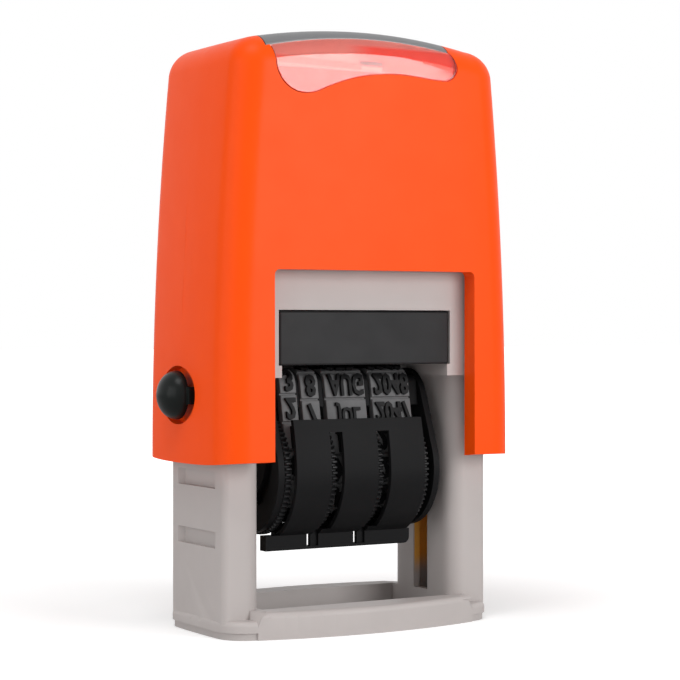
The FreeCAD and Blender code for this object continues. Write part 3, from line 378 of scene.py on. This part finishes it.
def frame_with_painted_glow():
    """The frame's grey plastic, with amber painted inside the channels that the cap's arms slide in: a
    painted glow for light shining through the legs' thin walls.
    """
    material = moulded("frame_grey", (0.45, 0.412, 0.40), (0.425, 0.388, 0.375), 0.48, 0.1, 0.35)
    tree = material.node_tree
    shader = tree.nodes["Principled BSDF"]
    x, y, z = split_place(tree)
    across = math_node(tree, "ABSOLUTE", x, 0.0)
    along = math_node(tree, "ABSOLUTE", y, 0.0)
    inside = math_node(tree, "MULTIPLY", step_mask(tree, across, *PAINTED_GLOW_INNER),
                       step_mask(tree, across, *PAINTED_GLOW_OUTER))
    narrow = step_mask(tree, along, *PAINTED_GLOW_SIDE)
    tall = math_node(tree, "MULTIPLY", step_mask(tree, z, *PAINTED_GLOW_LOW), step_mask(tree, z, *PAINTED_GLOW_HIGH))
    mask = math_node(tree, "MULTIPLY", math_node(tree, "MULTIPLY", inside, narrow), tall)
    grey_without_glow = shader.inputs["Base Color"].links[0].from_socket
    # Painted glow: amber blended in where light would shine through the legs' thin walls
    tree.links.new(blend_colours(tree, mask, grey_without_glow, (0.80, 0.40, 0.07, 1.0)), shader.inputs["Base Color"])
    return material


CARD_PALE = window_card()
CAP_ORANGE = moulded("cap_orange", (0.93, 0.080, 0.003), (0.90, 0.072, 0.003), 0.38, 0.08, 0.10)
FRAME_GREY = frame_with_painted_glow()
PAD_BLACK = moulded("pad_black", (0.021, 0.021, 0.022), (0.015, 0.015, 0.016), 0.46, 0.12, 0.14)
UNIT_BLACK = moulded("unit_black", (0.006, 0.006, 0.0065), (0.009, 0.009, 0.0095), 0.50, 0.15, 0.07)
BUTTON_BLACK = moulded("button_black", (0.004, 0.006, 0.0055), (0.006, 0.008, 0.0075), 0.30, 0.06, 0.14,
                       grain_depth=0.001 * MM)
INSERT_GREY = moulded("insert_grey", (0.14, 0.14, 0.145), (0.12, 0.12, 0.125), 0.40, 0.1, 0.5)
WHEEL_GREY = moulded("wheel_grey", (0.016, 0.016, 0.017), (0.010, 0.010, 0.011), 0.48, 0.15, 0.25)
BAND_RUBBER = moulded("band_rubber", (0.175, 0.175, 0.178), (0.125, 0.125, 0.128), 0.62, 0.15, 0.25,
                      grain_scale=5200.0, grain_depth=0.01 * MM, cloud_scale=700.0)
INKED_RUBBER = moulded("inked_rubber", (0.006, 0.006, 0.0065), (0.012, 0.012, 0.013), 0.5, 0.2, 0.12,
                       grain_scale=5200.0, grain_depth=0.01 * MM, cloud_scale=900.0)
PIN_STEEL = steel("pin_steel", (0.55, 0.55, 0.57), 0.22, 5000.0)
SPRING_STEEL = steel("spring_steel", (0.48, 0.48, 0.50), 0.28, 6000.0)
INK_FELT = felt()
WINDOW_TINT = tinted_window()


# Pieces that keep the shape of their CAD node, with softened edges

def finish_piece(mesh, name, body, materials, smooth_angle=math.radians(35)):
    """Makes the object of a bmesh, shades it smooth up to an angle and lets it ride on its body."""
    mesh.normal_update()
    for face in mesh.faces:
        face.smooth = True
    for edge in mesh.edges:
        if len(edge.link_faces) == 2:
            edge.smooth = edge.calc_face_angle(math.pi) < smooth_angle
        else:
            edge.smooth = False
    data = bpy.data.meshes.new(name)
    mesh.to_mesh(data)
    mesh.free()
    for material in materials:
        data.materials.append(material)
    piece = bpy.data.objects.new(name, data)
    bpy.context.scene.collection.objects.link(piece)
    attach(piece, body)
    return piece


def merged_copy(node):
    mesh = bmesh.new()
    mesh.from_mesh(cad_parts[node].data)
    bmesh.ops.remove_doubles(mesh, verts=mesh.verts, dist=MERGE_DISTANCE)
    bmesh.ops.dissolve_limit(mesh, angle_limit=FLAT_ANGLE, use_dissolve_boundaries=False,
                             verts=mesh.verts, edges=mesh.edges, delimit={"NORMAL"})
    return mesh


def softened(node, name, body, slot, material, width, segments, shape):
    """A merged copy of a CAD node, touched up by shape where that is given, with its sharp edges rounded."""
    mesh = merged_copy(node)
    if shape:
        shape(mesh)
    piece = finish_piece(mesh, name, body, [material])
    round_off = piece.modifiers.new("edge_round", "BEVEL")
    round_off.limit_method = "ANGLE"
    round_off.angle_limit = ROUND_ANGLE
    round_off.width = width
    round_off.segments = segments
    round_off.profile = 0.5
    round_off.use_clamp_overlap = True
    round_off.harden_normals = True
    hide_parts(node)


def dip_skirt(mesh):
    """Lets the cap's lower edge dip along its sides, between the front and the back."""
    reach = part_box("cap_shell")[1][1]
    for step in range(1 - SKIRT_CUTS, SKIRT_CUTS):
        geometry = list(mesh.verts) + list(mesh.edges) + list(mesh.faces)
        place = (0, reach * step / SKIRT_CUTS, 0)
        bmesh.ops.bisect_plane(mesh, geom=geometry, plane_co=place, plane_no=(0, 1, 0))
    for vert in mesh.verts:
        if vert.co.z < SKIRT_HEIGHT + SKIRT_CATCH and abs(vert.co.x) > SKIRT_START:
            share = min(1.0, abs(vert.co.y) / reach)
            vert.co.z -= SKIRT_DIP * (1 - share ** 3)


def ramp_rails(mesh):
    """Lets the ends of the base's rails run out in a ramp."""
    for vert in mesh.verts:
        rise = vert.co.z - RAIL_FOOT
        at_end = abs(abs(vert.co.x) - RAIL_END) < RAIL_CATCH and abs(vert.co.y) > RAIL_BEGIN
        if at_end and RAIL_FOOT_CATCH < rise < RAIL_RISE + RAIL_TOP_CATCH:
            vert.co.x -= math.copysign(RAIL_RAMP * rise / RAIL_RISE, vert.co.x)


def round_bar(mesh):
    """Rounds the lower corner at the right end of the guard's bar."""
    low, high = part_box("thumb_guard")

    def at_corner(vert):
        return abs(vert.co.z - low[2]) < CORNER_CATCH and abs(vert.co.x - high[0]) < CORNER_CATCH

    corner = [edge for edge in mesh.edges if all(at_corner(vert) for vert in edge.verts)]
    bmesh.ops.bevel(mesh, geom=corner, offset=BAR_CORNER, offset_type="OFFSET", segments=BAR_CORNER_STEPS,
                    profile=0.5, affect="EDGES", material=-1)


# Node, piece, body, slot, material, width and segments of the edge round, own touch to the shape
SOFTENED_PIECES = (
    ("cap_shell", "cap_moulding", "cap", "cap_orange", CAP_ORANGE, 0.30 * MM, 2, dip_skirt),
    ("top_insert", "insert_moulding", "cap", "insert_grey", INSERT_GREY, 0.10 * MM, 2, None),
    ("clear_lens", "window_lens", "cap", "lens_clear", WINDOW_TINT, 0.32 * MM, 3, None),
    ("inner_yoke", "yoke_moulding", "cap", "cap_orange", CAP_ORANGE, 0.12 * MM, 2, None),
    ("base_frame", "frame_moulding", "frame", "frame_grey", FRAME_GREY, 0.30 * MM, 3, ramp_rails),
    ("ink_pad_case", "pad_case_moulding", "ink_pad", "pad_black", PAD_BLACK, 0.30 * MM, 3, None),
    ("left_lock_button", "left_button_moulding", "left_button", "button_black", BUTTON_BLACK,
     0.12 * MM, 2, None),
    ("right_lock_button", "right_button_moulding", "right_button", "button_black", BUTTON_BLACK,
     0.12 * MM, 2, None),
    ("left_side_plate", "left_plate_moulding", "date_unit", "unit_black", UNIT_BLACK, 0.10 * MM, 2, None),
    ("right_side_plate", "right_plate_moulding", "date_unit", "unit_black", UNIT_BLACK, 0.10 * MM, 2, None),
    ("platen", "platen_moulding", "date_unit", "unit_black", UNIT_BLACK, 0.08 * MM, 2, None),
    ("thumb_guard", "guard_moulding", "date_unit", "unit_black", UNIT_BLACK, 0.16 * MM, 2, round_bar),
)
for row in SOFTENED_PIECES:
    softened(*row)
for node, material in (("wheel_axle", PIN_STEEL), ("pivot_pins", PIN_STEEL)):
    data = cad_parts[node].data
    data.materials.clear()
    data.materials.append(material)


# Dating bands

def belt_lean():
    """Angle above the horizon at which the straight side of the belt faces."""
    reach, rise = NOSE_REACH, NOSE_HEIGHT - WHEEL_HEIGHT
    return math.asin((BELT_RADIUS - NOSE_RADIUS) / math.hypot(reach, rise)) - math.atan2(reach, rise)


BELT_LEAN = belt_lean()
NOSE_ARC = NOSE_RADIUS * (math.pi / 2 - BELT_LEAN)
SIDE_RUN = math.hypot(
    BELT_RADIUS * math.cos(BELT_LEAN) - NOSE_REACH - NOSE_RADIUS * math.cos(BELT_LEAN),
    NOSE_HEIGHT - WHEEL_HEIGHT + (NOSE_RADIUS - BELT_RADIUS) * math.sin(BELT_LEAN),
)
WHEEL_ARC = BELT_RADIUS * (math.pi / 2 + BELT_LEAN)
HALF_BELT = NOSE_REACH + NOSE_ARC + SIDE_RUN + WHEEL_ARC
BLOCK_PITCH = 2 * HALF_BELT / BLOCK_COUNT


def on_belt(x, run, rise):
    """A point of the flat strip, laid on the belt's path; run goes from the top's middle to the front."""
    run = (run + HALF_BELT) % (2 * HALF_BELT) - HALF_BELT
    side = -1.0 if run > 0 else 1.0
    run = abs(run)
    if run <= NOSE_REACH:
        return Vector((x, side * run, NOSE_HEIGHT + NOSE_RADIUS + rise))
    run -= NOSE_REACH
    if run <= NOSE_ARC:
        turn = math.pi / 2 - run / NOSE_RADIUS
        reach = NOSE_REACH + (NOSE_RADIUS + rise) * math.cos(turn)
        return Vector((x, side * reach, NOSE_HEIGHT + (NOSE_RADIUS + rise) * math.sin(turn)))
    run -= NOSE_ARC
    if run <= SIDE_RUN:
        share = run / SIDE_RUN
        radius = NOSE_RADIUS * (1 - share) + BELT_RADIUS * share + rise
        reach = NOSE_REACH * (1 - share) + radius * math.cos(BELT_LEAN)
        height = NOSE_HEIGHT * (1 - share) + WHEEL_HEIGHT * share
        height += radius * math.sin(BELT_LEAN)
        return Vector((x, side * reach, height))
    turn = BELT_LEAN - (run - SIDE_RUN) / BELT_RADIUS
    reach = (BELT_RADIUS + rise) * math.cos(turn)
    return Vector((x, side * reach, WHEEL_HEIGHT + (BELT_RADIUS + rise) * math.sin(turn)))


def character_mesh(word):
    """The characters of one block as a mesh, from the built-in plain face, one unit deep."""
    curve = bpy.data.curves.new("characters", "FONT")
    curve.body = word
    curve.align_x = "CENTER"
    curve.offset = STROKE_WEIGHT
    curve.extrude = 0.5
    curve.resolution_u = 2
    text = bpy.data.objects.new("characters", curve)
    bpy.context.scene.collection.objects.link(text)
    data = bpy.data.meshes.new_from_object(text)
    bpy.data.objects.remove(text)
    return data


def add_characters(mesh, word, middle, run, widest):
    """Raised characters, head down and reversed as a stamp has them, on the block in the middle of run."""
    data = character_mesh(word)
    part = bmesh.new()
    part.from_mesh(data)
    bpy.data.meshes.remove(data)
    bmesh.ops.remove_doubles(part, verts=part.verts, dist=0.0001)
    xs = [vert.co.x for vert in part.verts]
    ys = [vert.co.y for vert in part.verts]
    tall = CHARACTER_HEIGHT / (max(ys) - min(ys))
    wide = min(tall * CHARACTER_SQUEEZE, widest / (max(xs) - min(xs)))
    bmesh.ops.translate(part, vec=(-(max(xs) + min(xs)) / 2, -(max(ys) + min(ys)) / 2, 0.5),
                        verts=part.verts)
    bmesh.ops.scale(part, vec=(wide, tall, CHARACTER_RISE + CHARACTER_ROOT), verts=part.verts)
    bmesh.ops.translate(part, vec=(middle, run, -CHARACTER_ROOT), verts=part.verts)
    for share in CHARACTER_CUT_SHARES:
        geometry = list(part.verts) + list(part.edges) + list(part.faces)
        place = (0, run + CHARACTER_HEIGHT * share, 0)
        bmesh.ops.bisect_plane(part, geom=geometry, plane_co=place, plane_no=(0, 1, 0))
    for face in part.faces:
        face.material_index = 1
    joined = bpy.data.meshes.new("characters")
    part.to_mesh(joined)
    part.free()
    mesh.from_mesh(joined)
    bpy.data.meshes.remove(joined)


def add_block(mesh, left, right, run):
    """One raised block of the flat strip, with softened top edges."""
    made = bmesh.ops.create_cube(mesh, size=1.0)["verts"]
    depth = BLOCK_RISE + BLOCK_ROOT
    bmesh.ops.scale(mesh, vec=(right - left, BLOCK_PITCH - BLOCK_GAP, depth), verts=made)
    bmesh.ops.translate(mesh, vec=((left + right) / 2, run, -depth / 2), verts=made)
    top = [vert for vert in made if vert.co.z > -BLOCK_RISE / 2]
    edges = {edge for vert in top for edge in vert.link_edges if all(end in top for end in edge.verts)}
    bmesh.ops.bevel(mesh, geom=list(edges), offset=BLOCK_EDGE, offset_type="OFFSET", segments=2, profile=0.5,
                    affect="EDGES", material=-1)


def dating_band(node, name, words, seam, widest):
    """A dating band: a closed belt with raised blocks and a word on each, counted from the seam."""
    low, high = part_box(node)
    left, right = low[0], high[0]
    middle = (left + right) / 2
    mesh = bmesh.new()
    for index in range(BLOCK_COUNT):
        add_block(mesh, left, right, seam + BLOCK_PITCH * (index - 0.5))
    for step in range(1, CUTS_PER_BLOCK * BLOCK_COUNT):
        geometry = list(mesh.verts) + list(mesh.edges) + list(mesh.faces)
        cut = seam - BLOCK_PITCH + BLOCK_PITCH * step / CUTS_PER_BLOCK
        bmesh.ops.bisect_plane(mesh, geom=geometry, plane_co=(0, cut, 0), plane_no=(0, 1, 0))
    for index, word in enumerate(words):
        if word:
            run = seam + BLOCK_PITCH * (index - 0.5) + CHARACTER_LIFT
            add_characters(mesh, word, middle, run, widest)
    for vert in mesh.verts:
        vert.co = on_belt(*vert.co)
    strip = bmesh.new()
    bmesh.ops.create_grid(strip, x_segments=1, y_segments=BELT_STEPS, size=0.5)
    bmesh.ops.scale(strip, vec=(right - left, 2 * HALF_BELT, 1.0), verts=strip.verts)
    bmesh.ops.translate(strip, vec=(middle, 0, -BLOCK_RISE), verts=strip.verts)
    for vert in strip.verts:
        vert.co = on_belt(*vert.co)
    bmesh.ops.remove_doubles(strip, verts=strip.verts, dist=0.01 * MM)
    bmesh.ops.recalc_face_normals(strip, faces=strip.faces)
    bmesh.ops.solidify(strip, geom=strip.faces, thickness=BELT_THICKNESS - BLOCK_RISE)
    bmesh.ops.recalc_face_normals(strip, faces=strip.faces)
    data = bpy.data.meshes.new("strip")
    strip.to_mesh(data)
    strip.free()
    mesh.from_mesh(data)
    bpy.data.meshes.remove(data)
    bmesh.ops.recalc_face_normals(mesh, faces=mesh.faces)
    piece = finish_piece(mesh, name, "date_unit", [BAND_RUBBER, INKED_RUBBER])
    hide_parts(node)


TENS = ("3", "2", "1", "0", "", "3", "2", "1", "0", "", "3", "2", "1", "0", "")
UNITS = ("8", "7", "6", "5", "4", "3", "2", "1", "0", "", "", "", "", "", "9")
MONTHS = ("AUG", "JUL", "JUN", "MAY", "APR", "MAR", "FEB", "JAN", "", "", "", "DEC", "NOV", "OCT", "SEP")
YEARS = ("2048", "2047", "2046", "2045", "2044", "2043", "2042", "2041", "2040",
         "", "", "", "", "2050", "2049")

# Band, its words, the run to the seam above its first block, the most that a word may be wide
BANDS = (
    ("day_tens", TENS, 7.54 * MM, 2.1 * MM),
    ("day_units", UNITS, 8.40 * MM, 2.3 * MM),
    ("month", MONTHS, 8.34 * MM, 5.8 * MM),
    ("year", YEARS, 8.34 * MM, 5.9 * MM),
)
for band, words, seam, widest in BANDS:
    dating_band(f"{band}_band", f"{band}_rubber", words, seam, widest)


# Thumb wheels

def thumb_wheel(wheel, rim_on_left, rim_width):
    """A thumb wheel: a toothed rim beside the hub that its band runs on."""
    low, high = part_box(f"{wheel}_wheel")
    left, right = low[0], high[0]
    if rim_on_left:
        rim, inner, far = left, left + rim_width, right
    else:
        rim, inner, far = right, right - rim_width, left
    lean = RIM_CHAMFER if rim_on_left else -RIM_CHAMFER
    profile = (
        (rim + 2 * lean, BORE_RADIUS), (rim + 2 * lean, BOSS_RADIUS), (rim + 4 * lean, DISH_INNER),
        (rim + 4 * lean, DISH_OUTER), (rim, RIM_INNER), (rim, RIM_RADIUS - RIM_CHAMFER),
        (rim + lean, RIM_RADIUS), (inner - lean, RIM_RADIUS), (inner, RIM_RADIUS - RIM_CHAMFER),
        (inner, HUB_RADIUS), (far, HUB_RADIUS), (far, BORE_RADIUS),
    )
    mesh = bmesh.new()
    verts = [mesh.verts.new((x, 0.0, radius)) for x, radius in profile]
    edges = [mesh.edges.new((one, other)) for one, other in zip(verts, verts[1:] + verts[:1])]
    steps = TEETH * STEPS_PER_TOOTH
    bmesh.ops.spin(mesh, geom=verts + edges, cent=(0, 0, 0), axis=(1, 0, 0), angle=2 * math.pi, steps=steps,
                   use_merge=True)
    root = (RIM_RADIUS - TOOTH_DEPTH) / RIM_RADIUS
    for vert in mesh.verts:
        radius = math.hypot(vert.co.y, vert.co.z)
        if radius > RIM_RADIUS - RIM_CATCH:
            step = round(math.atan2(vert.co.y, vert.co.z) * steps / (2 * math.pi)) % STEPS_PER_TOOTH
            if step >= STEPS_PER_TOOTH // 2:
                vert.co.y *= root
                vert.co.z *= root
    bmesh.ops.remove_doubles(mesh, verts=mesh.verts, dist=0.001 * MM)
    bmesh.ops.translate(mesh, vec=(0, 0, WHEEL_HEIGHT), verts=mesh.verts)
    bmesh.ops.recalc_face_normals(mesh, faces=mesh.faces)
    piece = finish_piece(mesh, f"{wheel}_toothed_wheel", f"{wheel}_wheel_body", [WHEEL_GREY])
    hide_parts(f"{wheel}_wheel")


# Wheel, whether its rim is on the left of its hub, width of the rim
WHEELS = (
    ("day_tens", True, 1.0 * MM),
    ("day_units", False, 0.9 * MM),
    ("month", False, 0.9 * MM),
    ("year", False, 1.0 * MM),
)
for row in WHEELS:
    thumb_wheel(*row)


# Return spring

def spring_turns(mesh, ring, pitch, turns):
    """Winds the wire's open end on by some turns and returns the new end."""
    edges = {edge for vert in ring for edge in vert.link_edges if all(end in ring for end in edge.verts)}
    result = bmesh.ops.spin(mesh, geom=ring + list(edges), cent=(0, 0, 0), axis=(0, 0, 1),
                            dvec=(0, 0, pitch / TURN_STEPS), angle=2 * math.pi * turns,
                            steps=round(TURN_STEPS * turns))
    return [item for item in result["geom_last"] if isinstance(item, bmesh.types.BMVert)]


def return_spring():
    mesh = bmesh.new()
    ring = bmesh.ops.create_circle(mesh, segments=WIRE_SIDES, radius=WIRE_RADIUS)["verts"]
    bmesh.ops.rotate(mesh, cent=(0, 0, 0), matrix=Matrix.Rotation(math.pi / 2, 3, "X"), verts=ring)
    bmesh.ops.translate(mesh, vec=(SPRING_RADIUS, 0, SPRING_LOW), verts=ring)
    start = list(ring)
    open_pitch = (SPRING_HIGH - SPRING_LOW - 2 * CLOSED_PITCH) / ACTIVE_TURNS
    end = spring_turns(mesh, start, CLOSED_PITCH, 1)
    end = spring_turns(mesh, end, open_pitch, ACTIVE_TURNS)
    spring_turns(mesh, end, CLOSED_PITCH, 1)
    bmesh.ops.holes_fill(mesh, edges=[edge for edge in mesh.edges if edge.is_boundary], sides=0)
    bmesh.ops.recalc_face_normals(mesh, faces=mesh.faces)
    piece = finish_piece(mesh, "spring_wire", "frame", [SPRING_STEEL])
    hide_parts("return_spring")
    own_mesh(piece)


return_spring()


# Inked felt

def felt_pad():
    """The felt: a thin pad, crowned underneath, whose sides pull in between its corners."""
    low, high = (Vector(corner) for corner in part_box("ink_pad_felt"))
    size = high - low
    middle = (high + low) / 2
    mesh = bmesh.new()
    bmesh.ops.create_cube(mesh, size=1.0)
    bmesh.ops.subdivide_edges(mesh, edges=mesh.edges, cuts=FELT_CUTS, use_grid_fill=True)
    for vert in mesh.verts:
        along, across, up = vert.co.x * 2, vert.co.y * 2, vert.co.z * 2
        fall = max(abs(along), abs(across)) ** 6
        pull = FELT_PULL * (1 - min(abs(along), abs(across)) ** 2)
        vert.co.x = middle.x + along * (size.x / 2 - pull * abs(along) ** 4)
        vert.co.y = middle.y + across * (size.y / 2 - pull * abs(across) ** 4)
        crown = FELT_CROWN * fall if up < 0 else 0.0
        vert.co.z = middle.z + up * size.z / 2 + crown * abs(up)
    bmesh.ops.recalc_face_normals(mesh, faces=mesh.faces)
    piece = finish_piece(mesh, "inked_pad", "ink_pad", [INK_FELT], math.radians(60))
    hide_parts("ink_pad_felt")


felt_pad()


# Index card behind the window

def index_card():
    """A pale card that lies behind the window, made from the window's own inner face."""
    mesh = merged_copy("clear_lens")
    mesh.normal_update()
    away = [face for face in mesh.faces if face.normal.y < 0.25]
    bmesh.ops.delete(mesh, geom=away, context="FACES")
    mesh.normal_update()
    for vert in mesh.verts:
        vert.co += vert.normal * CARD_GAP
    bmesh.ops.solidify(mesh, geom=mesh.faces, thickness=-CARD_THICKNESS)
    bmesh.ops.recalc_face_normals(mesh, faces=mesh.faces)
    finish_piece(mesh, "index_card", "cap", [CARD_PALE])


index_card()


# Floor, lights and camera

def floor():
    mesh = bmesh.new()
    bmesh.ops.create_grid(mesh, x_segments=1, y_segments=1, size=FLOOR_HALF)
    bmesh.ops.translate(mesh, vec=(0, 0, -FLOOR_DROP), verts=mesh.verts)
    data = bpy.data.meshes.new("studio_floor")
    mesh.to_mesh(data)
    mesh.free()
    material, tree, shader = plain_material("studio_floor")
    shader.inputs["Base Color"].default_value = (0.8, 0.8, 0.8, 1.0)
    shader.inputs["Roughness"].default_value = 0.9
    shader.inputs["Specular IOR Level"].default_value = 0.0
    shader.inputs["Emission Color"].default_value = (1.0, 1.0, 1.0, 1.0)
    place = tree.nodes.new("ShaderNodeTexCoord")
    distance = tree.nodes.new("ShaderNodeVectorMath")
    distance.operation = "LENGTH"
    tree.links.new(place.outputs["Object"], distance.inputs[0])
    fade = tree.nodes.new("ShaderNodeMapRange")
    fade.inputs["From Min"].default_value, fade.inputs["From Max"].default_value = FLOOR_FADE
    fade.inputs["To Min"].default_value, fade.inputs["To Max"].default_value = FLOOR_GLOW
    tree.links.new(distance.outputs["Value"], fade.inputs["Value"])
    path = tree.nodes.new("ShaderNodeLightPath")
    seen = math_node(tree, "MULTIPLY", path.outputs["Is Camera Ray"], fade.outputs["Result"])
    tree.links.new(seen, shader.inputs["Emission Strength"])
    data.materials.append(material)
    plane = bpy.data.objects.new("studio_floor", data)
    bpy.context.scene.collection.objects.link(plane)


def world_light():
    """A plain grey world to light the part, which looks white to the camera and in reflections."""
    world = bpy.data.worlds.new("studio")
    bpy.context.scene.world = world
    world.use_nodes = True
    tree = world.node_tree
    tree.nodes.clear()
    out = tree.nodes.new("ShaderNodeOutputWorld")
    mix = tree.nodes.new("ShaderNodeMixShader")
    light = tree.nodes.new("ShaderNodeBackground")
    light.inputs["Color"].default_value = (1.0, 1.0, 1.0, 1.0)
    light.inputs["Strength"].default_value = WORLD_STRENGTH
    white = tree.nodes.new("ShaderNodeBackground")
    white.inputs["Color"].default_value = (1.0, 1.0, 1.0, 1.0)
    white.inputs["Strength"].default_value = 1.0
    path = tree.nodes.new("ShaderNodeLightPath")
    seen = math_node(tree, "MAXIMUM", path.outputs["Is Camera Ray"], path.outputs["Is Glossy Ray"])
    seen = math_node(tree, "MAXIMUM", seen, path.outputs["Is Transmission Ray"])
    tree.links.new(seen, mix.inputs["Fac"])
    tree.links.new(light.outputs["Background"], mix.inputs[1])
    tree.links.new(white.outputs["Background"], mix.inputs[2])
    tree.links.new(mix.outputs["Shader"], out.inputs["Surface"])


def toward(azimuth, elevation):
    """Direction from the part's middle to a lamp or the camera."""
    return Vector((math.sin(azimuth) * math.cos(elevation), -math.cos(azimuth) * math.cos(elevation),
                   math.sin(elevation)))


def soft_box(name, azimuth, elevation, width, height, power):
    """A rectangular lamp that faces the part's middle."""
    data = bpy.data.lights.new(name, "AREA")
    data.shape = "RECTANGLE"
    data.size = width
    data.size_y = height
    data.energy = power
    back = toward(math.radians(azimuth), math.radians(elevation))
    lamp = bpy.data.objects.new(name, data)
    lamp.location = Vector((0, 0, CAMERA_TARGET_HEIGHT)) + back * LAMP_DISTANCE
    lamp.rotation_euler = (-back).to_track_quat("-Z", "Y").to_euler()
    bpy.context.scene.collection.objects.link(lamp)


def camera():
    data = bpy.data.cameras.new("photograph_camera")
    data.lens = LENS_LENGTH
    data.sensor_width = SENSOR_WIDTH
    data.sensor_fit = "HORIZONTAL"
    data.clip_start = 0.01
    back = toward(CAMERA_AZIMUTH, CAMERA_ELEVATION)
    right = Vector((math.cos(CAMERA_AZIMUTH), math.sin(CAMERA_AZIMUTH), 0))
    eye = bpy.data.objects.new("photograph_camera", data)
    eye.location = Vector((0, 0, CAMERA_TARGET_HEIGHT)) + right * CAMERA_SIDEWAYS + back * CAMERA_DISTANCE
    eye.rotation_euler = (-back).to_track_quat("-Z", "Y").to_euler()
    bpy.context.scene.collection.objects.link(eye)
    bpy.context.scene.camera = eye


floor()
world_light()

# Lamp, its azimuth and elevation in degrees, width and height in metres, power in watts
LAMPS = (
    ("front_soft_box", 22, 14, 0.30, 0.30, 1.95),
    ("left_soft_box", -72, 8, 0.30, 0.5, 0.70),
    ("left_strip_box", -95, 4, 0.06, 0.5, 0.55),
    ("top_left_soft_box", -50, 66, 0.28, 0.28, 1.3),
)
for row in LAMPS:
    soft_box(*row)
camera()
bpy.context.scene.view_settings.view_transform = "Standard"
